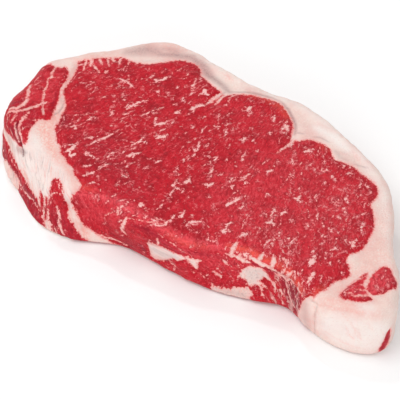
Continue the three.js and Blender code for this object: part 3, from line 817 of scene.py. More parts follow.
class Canvas:
    """The skin's points, with their places in plan and along the rim."""

    TOP_FROM = 23.0  # marks of the top face tell where h is more than this
    WALL_TO = 42.0  # and marks of the wall where it is less than this
    TURNED_DOWN = -0.6  # faces whose normal's z is less look down
    TAIL_REACH = 60.0  # how far before its end the rim is counted from its start

    def __init__(self, points: np.ndarray, normals: np.ndarray, rim: Rim) -> None:
        """Places the points.

        Args:
            points: x, y and z in mm, in rows.
            normals: the skin's normal at each point.
            rim: the rim that the wall is measured along.
        """
        self.points = points
        self.normals = normals
        self.plan = points[:, :2]
        self.along, self.height = rim.unroll(points)
        # The tip of the tail is drawn on both sides of where s starts.
        before = self.along > rim.length - self.TAIL_REACH
        self.around = np.where(before, self.along - rim.length, self.along)
        self.unrolled = np.stack([self.around, self.height], 1)
        self.below = (normals[:, 2] < self.TURNED_DOWN) & (points[:, 2] < 1.0)

    def depth(self, mark: Area | Stroke, held: bool = True) -> np.ndarray:
        """Tells how deep each point lies inside a mark.

        Args:
            mark: the mark.
            held: keep the mark to its own face.

        Returns:
            The depth in mm, negative outside, never less than minus FAR.
        """
        places = self.plan if mark.ground is Ground.TOP else self.unrolled
        if isinstance(mark, Area):
            line, reach = softened(mark.border, mark.softening), FAR
        else:
            line, reach = np.array(mark.route, float), FAR + mark.width / 2
        near = ((places > line.min(0) - reach) & (places < line.max(0) + reach)).all(1)
        if held:
            near &= ~self.below
        depth = np.full(len(places), -FAR)
        depth[near] = self._depth_near(mark, line, places[near])
        if held and mark.ground is Ground.TOP:
            depth = np.minimum(depth, self.height - self.TOP_FROM)
        if held and mark.ground is Ground.WALL:
            depth = np.minimum(depth, self.WALL_TO - self.height)
        return np.maximum(depth, -FAR)

    @staticmethod
    def _depth_near(mark: Area | Stroke, line: np.ndarray, places: np.ndarray) -> np.ndarray:
        """Tells how deep places in a mark's reach lie inside it.

        Args:
            mark: the mark.
            line: its border, or its route.
            places: the places, in rows.

        Returns:
            The depth in mm, negative outside.
        """
        if isinstance(mark, Area):
            near = nearest_on(np.vstack([line, line[:1]]), places)
            return np.where(is_within(line, places), near.gap, -near.gap)
        near = nearest_on(line, places)
        share = near.along / near.length
        swelling = mark.tip + (1.0 - mark.tip) * np.sqrt(np.sin(math.pi * np.clip(share, 0.0, 1.0)))
        return mark.width / 2 * swelling - near.gap

    def deepest(self, marks: Sequence[Area | Stroke], held: bool = True) -> np.ndarray:
        """Returns the depth inside the nearest of some marks."""
        return np.maximum.reduce([self.depth(mark, held) for mark in marks])

    def touched(self, touches: Sequence[Touch]) -> np.ndarray:
        """Lays touches over each other, the strongest telling.

        Args:
            touches: the touches.

        Returns:
            A strength from 0 to 1 at each point.
        """
        total = np.zeros(len(self.points))
        for touch in touches:
            share = smoothstep(-touch.fade, touch.fade, self.depth(touch.mark))
            total = np.maximum(total, touch.strength * share)
        return total

    def folded(self, touches: Sequence[Touch]) -> np.ndarray:
        """Adds up furrows and folds.

        Args:
            touches: the folds, with their heights as strengths.

        Returns:
            How far each point is lifted, in mm.
        """
        total = np.zeros(len(self.points))
        for touch in touches:
            total += touch.strength * smoothstep(-touch.fade, touch.fade, self.depth(touch.mark))
        return total


class Tree:
    """A node tree in the making, with short ways to add nodes and join them."""

    def __init__(self, tree: bpy.types.NodeTree) -> None:
        """Empties the tree that is to be filled."""
        self.tree = tree
        self.tree.nodes.clear()

    def add(self, kind: str, inputs: dict | None = None, **settings: object) -> bpy.types.Node:
        """Adds a node.

        Args:
            kind: the node's type.
            inputs: what each named or numbered input gets, a value or another node's output.
            settings: the node's own settings.

        Returns:
            The new node.
        """
        node = self.tree.nodes.new(kind)
        for name, value in settings.items():
            setattr(node, name, value)
        for name, value in (inputs or {}).items():
            if isinstance(value, Socket):
                self.tree.links.new(value, node.inputs[name])
            else:
                node.inputs[name].default_value = value
        return node

    def math(self, operation: str, *values: object) -> Socket:
        """Adds a Math node and returns its output."""
        return self.add("ShaderNodeMath", dict(enumerate(values)), operation=operation).outputs[0]

    def plus(self, first: object, second: object) -> Socket:
        """Adds two numbers."""
        return self.math("ADD", first, second)

    def minus(self, first: object, second: object) -> Socket:
        """Takes the second number from the first."""
        return self.math("SUBTRACT", first, second)

    def times(self, first: object, second: object) -> Socket:
        """Multiplies two numbers."""
        return self.math("MULTIPLY", first, second)

    def vector(self, operation: str, *values: object) -> Socket:
        """Adds a Vector Math node and returns its output."""
        return self.add("ShaderNodeVectorMath", dict(enumerate(values)), operation=operation).outputs[0]

    def scaled(self, vector: Socket, size: object) -> Socket:
        """Scales a vector by a number."""
        return self.add("ShaderNodeVectorMath", {0: vector, "Scale": size}, operation="SCALE").outputs[0]

    def ramp(self, value: object, low: float, high: float, start: float = 0.0, end: float = 1.0) -> Socket:
        """Eases a value, so that the result goes from start at low to end at high."""
        inputs = {"Value": value, "From Min": low, "From Max": high, "To Min": start, "To Max": end}
        return self.add("ShaderNodeMapRange", inputs, interpolation_type="SMOOTHSTEP").outputs[0]

    def mix(self, share: object, first: object, second: object) -> Socket:
        """Mixes two colours, with a share of the second."""
        return self.add("ShaderNodeMix", {0: share, 6: first, 7: second}, data_type="RGBA").outputs[2]

    def layered(self, colour: Socket, layers: Sequence[tuple[object, Shade]]) -> Socket:
        """Lays shades over a colour, one after the other.

        Args:
            colour: the colour below.
            layers: how much of each shade is taken, and the shade.

        Returns:
            The last colour's output.
        """
        for share, shade in layers:
            colour = self.mix(share, colour, linear(*shade))
        return colour


class Painting(Tree):
    """A material's tree that knows the place on the steak and the run of its fibres, both in mm."""

    def __init__(self, tree: bpy.types.NodeTree) -> None:
        """Starts from an empty tree and reads the place and the fibres.

        Args:
            tree: the tree to fill.
        """
        super().__init__(tree)
        place = self.add("ShaderNodeTexCoord").outputs["Object"]
        self.place = self.vector("MULTIPLY", place, (1 / MM, 1 / MM, 1 / MM))
        self.fibre = self.warped(self.attribute("fibre", "Vector"), 0.35, 3.4)

    def attribute(self, name: str, output: str = "Fac") -> Socket:
        """Returns an attribute of the skin."""
        return self.add("ShaderNodeAttribute", attribute_name=name).outputs[output]

    def noise(self, scale: float, detail: float, roughness: float, output: str = "Fac") -> Socket:
        """Returns a noise from 0 to 1, with scale in cells for each millimetre."""
        inputs = {"Vector": self.place, "Scale": scale, "Detail": detail, "Roughness": roughness}
        return self.add("ShaderNodeTexNoise", inputs).outputs[output]

    def warped(self, fibre: Socket, scale: float, reach: float) -> Socket:
        """Bends the fibres' coordinates by up to a reach in mm, with scale in bends for each millimetre."""
        middle = self.vector("SUBTRACT", self.noise(scale, 3.0, 0.6, "Color"), (0.5, 0.5, 0.5))
        return self.vector("ADD", fibre, self.scaled(middle, reach))

    def stretched(self, fibre: Socket, across: float, along: float, detail: float) -> Socket:
        """Returns a noise drawn out along the fibres.

        Args:
            fibre: the place across and along the fibres, in mm.
            across: the cells for each millimetre across.
            along: the cells for each millimetre along.
            detail: the noise's detail.

        Returns:
            The noise, from 0 to 1.
        """
        drawn_out = self.vector("MULTIPLY", fibre, (across, along, across))
        inputs = {"Vector": drawn_out, "Scale": 1.0, "Detail": detail, "Roughness": 0.55}
        return self.add("ShaderNodeTexNoise", inputs).outputs["Fac"]

    def threads(self, fibre: Socket, across: float, along: float, width: float, seen: Socket) -> Socket:
        """Draws thin branching threads along the fibres.

        Args:
            fibre: the place across and along the fibres, in mm.
            across: the meshes for each millimetre across.
            along: the meshes for each millimetre along.
            width: half the width of a thread, in mm.
            seen: how much of the threads shows, from 0 to 1.

        Returns:
            The threads' mask.
        """
        drawn_out = self.vector("MULTIPLY", fibre, (across, along, across))
        inputs = {"Vector": drawn_out, "Scale": 1.0}
        net = self.add("ShaderNodeTexVoronoi", inputs, feature="DISTANCE_TO_EDGE").outputs["Distance"]
        return self.times(self.ramp(net, width * across, 0.3 * width * across), seen)

    def granules(self, fibre: Socket, across: float, along: float, share: object, largest: float) -> Socket:
        """Strews small granules.

        Args:
            fibre: the place across and along the fibres, in mm.
            across: the cells for each millimetre across.
            along: the cells for each millimetre along.
            share: the share of the cells that hold one.
            largest: the radius of the largest, as a share of a cell.

        Returns:
            The granules' mask.
        """
        drawn_out = self.vector("MULTIPLY", fibre, (across, along, across))
        cells = self.add("ShaderNodeTexVoronoi", {"Vector": drawn_out, "Scale": 1.0, "Randomness": 1.0})
        chance = self.add("ShaderNodeSeparateColor", {0: cells.outputs["Color"]}).outputs[0]
        size = self.ramp(self.minus(chance, self.minus(1.0, share)), 0.0, 0.16, -0.1, largest)
        return self.ramp(self.minus(size, cells.outputs["Distance"]), -0.03, 0.09)


def linear(red: int, green: int, blue: int) -> tuple[float, float, float, float]:
    """Turns a screen colour into the renderer's.

    Args:
        red: from 0 to 255.
        green: from 0 to 255.
        blue: from 0 to 255.

    Returns:
        The linear colour, with alpha 1.
    """
    shares = [channel / 255 for channel in (red, green, blue)]
    values = [share / 12.92 if share <= 0.04045 else ((share + 0.055) / 1.055) ** 2.4 for share in shares]
    return (values[0], values[1], values[2], 1.0)


@dataclass(frozen=True)
class RawMeat:
    """The finish of the whole skin: moist lean with marbling, creamy fat and pearly sinew."""

    lean: Shade = (194, 20, 38)
    lean_deep: Shade = (140, 6, 22)
    lean_bright: Shade = (222, 74, 84)
    # bright lean, also the painted highlight on the rounded edge and the sheen
    lean_bloom: Shade = (240, 88, 98)
    lean_ember: Shade = (238, 88, 72)
    # dusky lean, also the painted shade in creases and furrows
    lean_dusk: Shade = (112, 30, 50)
    fleck: Shade = (242, 190, 184)
    fleck_edge: Shade = (226, 100, 108)
    thread: Shade = (234, 140, 142)
    fat_cream: Shade = (241, 217, 208)
    fat_rose: Shade = (234, 194, 186)
    # pearly fat, also the painted highlight on the cap's crest
    fat_pearl: Shade = (247, 241, 237)
    fat_rim: Shade = (236, 128, 126)
    # mauve of the sinew's darker fibres, also the painted shade on the fat
    fat_mauve: Shade = (156, 112, 114)
    fat_blush: Shade = (238, 160, 148)
    wet: float = 0.3
    dull: float = 0.5

    def material(self) -> bpy.types.Material:
        """Builds the material.

        Returns:
            The finished material.
        """
        made = bpy.data.materials.new("raw_meat")
        made.use_nodes = True
        tree = Painting(made.node_tree)
        teeth = tree.times(tree.minus(tree.noise(0.85, 5.0, 0.78), 0.49), 3.6)
        drawn = tree.minus(tree.stretched(tree.fibre, 1.1, 0.25, 4.0), 0.5)
        feathers = tree.times(drawn, tree.times(tree.attribute("sinew"), 3.6))
        depth = tree.plus(tree.attribute("lean"), tree.plus(teeth, feathers))
        marbling = self._marbling(tree)
        lean = self._lean_colour(tree, marbling)
        fat = self._fat_colour(tree, depth)
        colour = tree.mix(tree.ramp(depth, -0.1, 0.14), fat, lean)
        # Painted shade: the deep furrows are darkened.
        colour = tree.layered(colour, [(tree.times(tree.attribute("furrow"), 0.8), self.lean_dusk)])
        height = self._height(tree, marbling)
        inputs = {"Strength": 0.75, "Distance": 0.4 * MM, "Height": height}
        bump = tree.add("ShaderNodeBump", inputs).outputs[0]
        shader = tree.add(
            "ShaderNodeBsdfPrincipled",
            {
                "Base Color": colour,
                "Roughness": tree.ramp(tree.noise(1.6, 3.0, 0.55), 0.3, 0.7, self.wet, self.dull),
                "Normal": bump,
                "IOR": 1.42,
                "Specular IOR Level": 0.14,
                "Subsurface Weight": 0.1,
                "Subsurface Radius": (1.0, 0.4, 0.3),
                "Subsurface Scale": MM,
                "Coat Weight": 0.1,
                "Coat Roughness": 0.16,
                "Coat Normal": bump,
            },
        )
        tree.add("ShaderNodeOutputMaterial", {"Surface": shader.outputs[0]})
        return made

    @staticmethod
    def _marbling(tree: Painting) -> dict[str, Socket]:
        """Draws the marbling.

        Args:
            tree: the material's tree.

        Returns:
            The core and the edge of the flecks, the threads, the granules and painted shade round the flecks.
        """
        torn = tree.times(tree.minus(tree.stretched(tree.fibre, 1.5, 0.7, 5.0), 0.52), 2.9)
        nicked = tree.times(tree.minus(tree.noise(2.4, 3.0, 0.7), 0.5), 1.5)
        depth = tree.plus(tree.attribute("marbling"), tree.plus(torn, nicked))
        rich = tree.attribute("fattiness")
        patches = tree.noise(0.33, 3.0, 0.6)
        here = tree.ramp(tree.plus(patches, tree.times(rich, 0.16)), 0.57, 0.69)
        near_by = tree.ramp(tree.plus(tree.noise(0.6, 3.0, 0.6), tree.times(rich, 0.1)), 0.57, 0.7)
        fine = tree.threads(tree.fibre, 0.7, 0.18, 0.12, near_by)
        frayed = tree.warped(tree.fibre, 1.4, 1.3)
        breaks = tree.ramp(tree.noise(1.1, 2.0, 0.6), 0.44, 0.56)
        coarse = tree.threads(frayed, 0.4, 0.15, 0.26, tree.times(here, breaks))
        share = tree.plus(0.14, tree.times(rich, 0.5))
        share = tree.times(share, tree.ramp(patches, 0.35, 0.6, 0.35, 1.1))
        curled = tree.warped(tree.fibre, 0.9, 1.1)
        strokes = tree.granules(curled, 0.58, 0.17, share, 0.2)
        dots = tree.granules(curled, 0.95, 0.3, tree.times(share, 0.6), 0.24)
        slivers = tree.granules(frayed, 0.44, 0.12, tree.times(share, 0.85), 0.19)
        strokes = tree.math("MAXIMUM", strokes, slivers)
        return {
            "core": tree.ramp(depth, 0.0, 0.35),
            "edge": tree.ramp(depth, -0.35, 0.1),
            "thread": tree.math("MAXIMUM", coarse, tree.times(fine, 0.35)),
            "granule": tree.math("MAXIMUM", strokes, tree.times(dots, 0.7)),
            # Painted shade: a dark ring round each fleck.
            "rim": tree.times(tree.ramp(depth, -1.2, -0.4), tree.ramp(depth, -0.1, -0.4)),
        }

    def _lean_colour(self, tree: Painting, marbling: dict[str, Socket]) -> Socket:
        """Mixes the colour of the lean with its marbling.

        Args:
            tree: the material's tree.
            marbling: the marbling's masks.

        Returns:
            The colour's output.
        """
        broad = tree.noise(0.12, 4.0, 0.65)
        mottle = tree.noise(0.9, 4.0, 0.7)
        streaks = tree.stretched(tree.fibre, 1.3, 0.3, 4.0)
        drawn = tree.stretched(tree.fibre, 0.62, 0.07, 4.0)
        base = tree.mix(tree.ramp(broad, 0.3, 0.55, 0.4, 1.0), linear(*self.lean_deep), linear(*self.lean))
        layers = (
            (tree.ramp(mottle, 0.48, 0.3, 0.0, 0.85), self.lean_deep),
            (tree.ramp(streaks, 0.5, 0.72, 0.0, 0.75), self.lean_bright),
            (tree.ramp(streaks, 0.46, 0.26, 0.0, 0.7), self.lean_deep),
            # Painted highlight and brighter lean.
            (tree.times(tree.attribute("bloom"), tree.ramp(streaks, 0.32, 0.6, 0.25, 1.0)), self.lean_bloom),
            (tree.times(tree.attribute("ember"), tree.ramp(mottle, 0.25, 0.6, 0.5, 1.0)), self.lean_ember),
            # Painted shade and dusky lean.
            (tree.times(tree.attribute("dusk"), tree.ramp(streaks, 0.2, 0.6, 1.0, 0.7)), self.lean_dusk),
            (tree.times(tree.attribute("strands"), tree.ramp(drawn, 0.52, 0.6, 0.0, 0.58)), self.fat_rose),
            # Painted shade round the flecks.
            (tree.times(marbling["rim"], 0.35), self.lean_deep),
            (tree.times(marbling["thread"], 0.72), self.thread),
            (tree.times(marbling["granule"], 0.68), self.fleck),
            (tree.times(marbling["edge"], 0.8), self.fleck_edge),
            (marbling["core"], self.fleck),
        )
        return tree.layered(base, layers)

    def _fat_colour(self, tree: Painting, depth: Socket) -> Socket:
        """Mixes the colour of fat and sinew.

        Args:
            tree: the material's tree.
            depth: the depth inside the lean, negative in the fat.

        Returns:
            The colour's output.
        """
        broad = tree.noise(0.08, 4.0, 0.6)
        fine = tree.noise(1.3, 4.0, 0.7)
        straighter = tree.warped(tree.attribute("fibre", "Vector"), 0.15, 1.8)
        streaks = tree.stretched(straighter, 0.9, 0.06, 2.0)
        sinew = tree.attribute("sinew")
        rim = tree.plus(tree.ramp(depth, -0.9, 0.0, 0.0, 0.7), tree.ramp(depth, -3.0, -0.5, 0.0, 0.12))
        base = tree.mix(tree.ramp(broad, 0.35, 0.7), linear(*self.fat_cream), linear(*self.fat_rose))
        layers = (
            # Pearly fat and the painted highlight on the cap's crest.
            (tree.times(tree.attribute("pearl"), tree.ramp(fine, 0.2, 0.6, 0.6, 1.0)), self.fat_pearl),
            (tree.ramp(fine, 0.52, 0.7, 0.0, 0.5), self.fat_rose),
            (tree.ramp(fine, 0.45, 0.28, 0.0, 0.5), self.fat_pearl),
            (tree.times(sinew, tree.ramp(streaks, 0.53, 0.72, 0.0, 0.45)), self.fat_blush),
            (tree.times(sinew, tree.ramp(streaks, 0.47, 0.3, 0.0, 0.36)), self.fat_mauve),
            (tree.times(tree.attribute("blush"), tree.ramp(fine, 0.36, 0.62, 0.2, 1.0)), self.fat_blush),
            # Painted shade on the fat.
            (tree.times(tree.attribute("mauve"), tree.ramp(fine, 0.3, 0.65, 1.0, 0.55)), self.fat_mauve),
            (rim, self.fat_rim),
        )
        return tree.layered(base, layers)

    @staticmethod
    def _height(tree: Painting, marbling: dict[str, Socket]) -> Socket:
        """Adds up the finest relief, for the bump.

        Args:
            tree: the material's tree.
            marbling: the marbling's masks.

        Returns:
            The height's output, from about 0 to 2.
        """
        grain = tree.plus(tree.noise(2.2, 3.0, 0.6), tree.stretched(tree.fibre, 1.6, 0.3, 3.0))
        proud = tree.math("MAXIMUM", marbling["edge"], tree.times(marbling["thread"], 0.7))
        return tree.plus(grain, tree.times(proud, 0.3))


@dataclass
class Marbling:
    """Flecks of fat strewn over the lean along its grain, beside the listed ones. Lengths in mm."""

    seed: int = 11
    spacing: float = 2.3
    density: float = 0.26  # for each square millimetre, before the spacing thins it
    shortest: float = 0.5
    longest: float = 5.2
    girth: float = 0.66
    spread: float = 0.42  # how far a fleck turns off the grain, in radians
    wobble: float = 0.55
    rise: float = 0.1
    reach: float = 3.0

    def tree(self, material: bpy.types.Material) -> bpy.types.NodeTree:
        """Builds the Geometry Nodes tree.

        Args:
            material: the material that the result gets.

        Returns:
            The tree, which takes the skin and gives it back with the marbling stored on it.
        """
        made = bpy.data.node_groups.new("marbling", "GeometryNodeTree")
        face = made.interface
        face.new_socket("Geometry", in_out="INPUT", socket_type="NodeSocketGeometry")
        face.new_socket("Placed flecks", in_out="INPUT", socket_type="NodeSocketObject")
        face.new_socket("Seed", in_out="INPUT", socket_type="NodeSocketInt")
        for size in fields(self)[1:]:
            face.new_socket(size.name.capitalize(), in_out="INPUT", socket_type="NodeSocketFloat")
        face.new_socket("Geometry", in_out="OUTPUT", socket_type="NodeSocketGeometry")
        tree = Tree(made)
        given = tree.add("NodeGroupInput").outputs
        strewn = self._strewn(tree, given)
        inputs = {"Object": given["Placed flecks"]}
        placed = tree.add("GeometryNodeObjectInfo", inputs, transform_space="RELATIVE")
        lines = tree.add("GeometryNodeMeshToCurve", {"Mesh": placed.outputs["Geometry"]})
        both = tree.add("GeometryNodeJoinGeometry")
        made.links.new(strewn, both.inputs[0])
        made.links.new(lines.outputs[0], both.inputs[0])
        dots = self._dotted(tree, given, both.outputs[0])
        marked = self._marked(tree, given, dots)
        whole = tree.add("GeometryNodeRealizeInstances", {"Geometry": marked})
        dressed = tree.add("GeometryNodeSetMaterial", {"Geometry": whole.outputs[0], "Material": material})
        tree.add("NodeGroupOutput", {"Geometry": dressed.outputs[0]})
        return made

    @staticmethod
    def _named(tree: Tree, name: str, kind: str = "FLOAT") -> Socket:
        """Returns a named attribute."""
        named = tree.add("GeometryNodeInputNamedAttribute", {"Name": name}, data_type=kind)
        return named.outputs["Attribute"]

    @staticmethod
    def _random(tree: Tree, low: object, high: object, seed: int) -> Socket:
        """Returns a random number for each fleck."""
        drawn = tree.add("FunctionNodeRandomValue", {2: low, 3: high, "Seed": seed}, data_type="FLOAT")
        return drawn.outputs[1]

    @staticmethod
    def _stored(tree: Tree, geometry: Socket, name: str, value: Socket) -> Socket:
        """Stores a number at each point.

        Args:
            tree: the tree.
            geometry: what it is stored on.
            name: its name.
            value: the number.

        Returns:
            The geometry with the number on it.
        """
        inputs = {"Geometry": geometry, "Name": name, "Value": value}
        stored = tree.add("GeometryNodeStoreNamedAttribute", inputs, data_type="FLOAT", domain="POINT")
        return stored.outputs[0]

    def _strewn(self, tree: Tree, given: Outputs) -> Socket:
        """Strews short lines over the lean.

        Args:
            tree: the tree.
            given: the tree's inputs.

        Returns:
            The lines, as curves that hold their girth.
        """
        points = tree.add(
            "GeometryNodeDistributePointsOnFaces",
            {
                "Mesh": given["Geometry"],
                "Distance Min": tree.times(given["Spacing"], MM),
                "Density Max": tree.math("DIVIDE", given["Density"], MM * MM),
                "Density Factor": self._named(tree, "fattiness"),
                "Seed": given["Seed"],
            },
            distribute_method="POISSON",
        )
        turned = tree.add(
            "FunctionNodeAlignRotationToVector",
            {"Rotation": points.outputs["Rotation"], "Vector": self._named(tree, "grain", "FLOAT_VECTOR")},
            axis="X",
            pivot_axis="Z",
        )
        angle = self._random(tree, tree.times(given["Spread"], -1.0), given["Spread"], 3)
        swing = tree.add("FunctionNodeAxisAngleToRotation", {"Axis": (0, 0, 1), "Angle": angle})
        swung = tree.add(
            "FunctionNodeRotateRotation",
            {"Rotation": turned.outputs[0], "Rotate By": swing.outputs[0]},
            rotation_space="LOCAL",
        )
        # Most flecks are short: the share of the longest is a power of a random number.
        draw = tree.math("POWER", self._random(tree, 0.0, 1.0, 5), 2.0)
        longer = tree.times(tree.minus(given["Longest"], given["Shortest"]), draw)
        length = tree.times(tree.plus(given["Shortest"], longer), MM)
        line = tree.add("GeometryNodeCurvePrimitiveLine", {"Start": (-0.5, 0, 0), "End": (0.5, 0, 0)})
        scale = tree.add("ShaderNodeCombineXYZ", {"X": length, "Y": 1.0, "Z": 1.0})
        girth = tree.times(given["Girth"], self._random(tree, 0.55, 1.25, 7))
        lines = tree.add(
            "GeometryNodeInstanceOnPoints",
            {
                "Points": self._stored(tree, points.outputs["Points"], "girth", girth),
                "Instance": line.outputs[0],
                "Rotation": swung.outputs[0],
                "Scale": scale.outputs[0],
            },
        )
        return tree.add("GeometryNodeRealizeInstances", {"Geometry": lines.outputs[0]}).outputs[0]

    def _dotted(self, tree: Tree, given: Outputs, lines: Socket) -> Socket:
        """Bends the lines a little, lays them on the skin and turns them into rows of close dots.

        Args:
            tree: the tree.
            given: the tree's inputs.
            lines: the flecks' middle lines.

        Returns:
            The dots, each with its own girth.
        """
        close = tree.add("GeometryNodeResampleCurve", {"Curve": lines, "Length": 0.3 * MM}, mode="LENGTH")
        place = tree.add("GeometryNodeInputPosition").outputs[0]
        noise = tree.add("ShaderNodeTexNoise", {"Vector": place, "Scale": 0.42 / MM, "Detail": 1.0})
        middle = tree.vector("SUBTRACT", noise.outputs["Color"], (0.5, 0.5, 0.5))
        shift = tree.scaled(middle, tree.times(given["Wobble"], 2 * MM))
        bent = tree.add("GeometryNodeSetPosition", {"Geometry": close.outputs[0], "Offset": shift})
        nearest = tree.add("GeometryNodeProximity", {0: given["Geometry"]}, target_element="FACES")
        inputs = {"Geometry": bent.outputs[0], "Position": nearest.outputs[0]}
        laid = tree.add("GeometryNodeSetPosition", inputs)
        share = tree.add("GeometryNodeSplineParameter").outputs["Factor"]
        swelling = tree.math("POWER", tree.math("SINE", tree.times(share, math.pi)), 0.6)
        knots = tree.add("ShaderNodeTexNoise", {"Vector": place, "Scale": 0.9 / MM, "Detail": 1.0})
        uneven = tree.ramp(knots.outputs["Fac"], 0.3, 0.7, 0.7, 1.25)
        girth = tree.times(tree.times(self._named(tree, "girth"), swelling), uneven)
        held = self._stored(tree, laid.outputs[0], "girth", girth)
        return tree.add("GeometryNodeCurveToPoints", {"Curve": held}, mode="EVALUATED").outputs[0]

    def _marked(self, tree: Tree, given: Outputs, dots: Socket) -> Socket:
        """Stores on the skin how deep each point lies in a fleck, and lifts the flecks.

        Args:
            tree: the tree.
            given: the tree's inputs.
            dots: the dots that the flecks are made of.

        Returns:
            The skin.
        """
        nearest = tree.add("GeometryNodeSampleNearest", {"Geometry": dots}, domain="POINT")
        girth = tree.add(
            "GeometryNodeSampleIndex",
            {"Geometry": dots, "Value": self._named(tree, "girth"), "Index": nearest.outputs[0]},
            data_type="FLOAT",
            domain="POINT",
        )
        gap = tree.add("GeometryNodeProximity", {0: dots}, target_element="POINTS").outputs["Distance"]
        depth = tree.minus(tree.times(girth.outputs[0], 0.5), tree.math("DIVIDE", gap, MM))
        depth = tree.math("MAXIMUM", depth, tree.times(given["Reach"], -1.0))
        stored = self._stored(tree, given["Geometry"], "marbling", depth)
        lift = tree.times(tree.ramp(depth, -0.3, 0.3), given["Rise"])
        lift = tree.times(tree.times(lift, self._named(tree, "fattiness")), MM)
        offset = tree.scaled(tree.add("GeometryNodeInputNormal").outputs[0], lift)
        return tree.add("GeometryNodeSetPosition", {"Geometry": stored, "Offset": offset}).outputs[0]

    def lay_on(self, skin: bpy.types.Object, placed: bpy.types.Object, material: bpy.types.Material) -> None:
        """Strews the marbling and keeps the result as the skin's mesh.

        Args:
            skin: the skin, with its attributes.
            placed: the lines of the listed flecks.
            material: the skin's material.
        """
        tree = self.tree(material)
        values = {name.capitalize(): value for name, value in asdict(self).items()}
        values["Placed flecks"] = placed
        modifier = skin.modifiers.new("marbling", "NODES")
        modifier.node_group = tree
        for socket in tree.interface.items_tree:
            if socket.in_out == "INPUT" and socket.name in values:
                modifier[socket.identifier] = values[socket.name]
        settle(skin)


def gathered(items: bpy.types.bpy_prop_collection, name: str, kind: type, width: int = 1) -> np.ndarray:
    """Reads a property of every vertex, corner or face.

    Args:
        items: the mesh's vertices, corners or faces.
        name: the property.
        kind: the type of its numbers.
        width: how many numbers it has.

    Returns:
        The numbers, in rows where the property has more than one.
    """
    values = np.empty(len(items) * width, kind)
    items.foreach_get(name, values)
    return values.reshape(-1, width) if width > 1 else values


def settle(piece: bpy.types.Object) -> None:
    """Turns a piece's modifiers into its plain mesh.

    Args:
        piece: the piece, which keeps its name and loses its modifiers.
    """
    bpy.context.view_layer.update()
    graph = bpy.context.evaluated_depsgraph_get()
    evaluated = piece.evaluated_get(graph)
    mesh = bpy.data.meshes.new_from_object(evaluated, preserve_all_data_layers=True, depsgraph=graph)
    old = piece.data
    piece.modifiers.clear()
    piece.data = mesh
    bpy.data.meshes.remove(old)


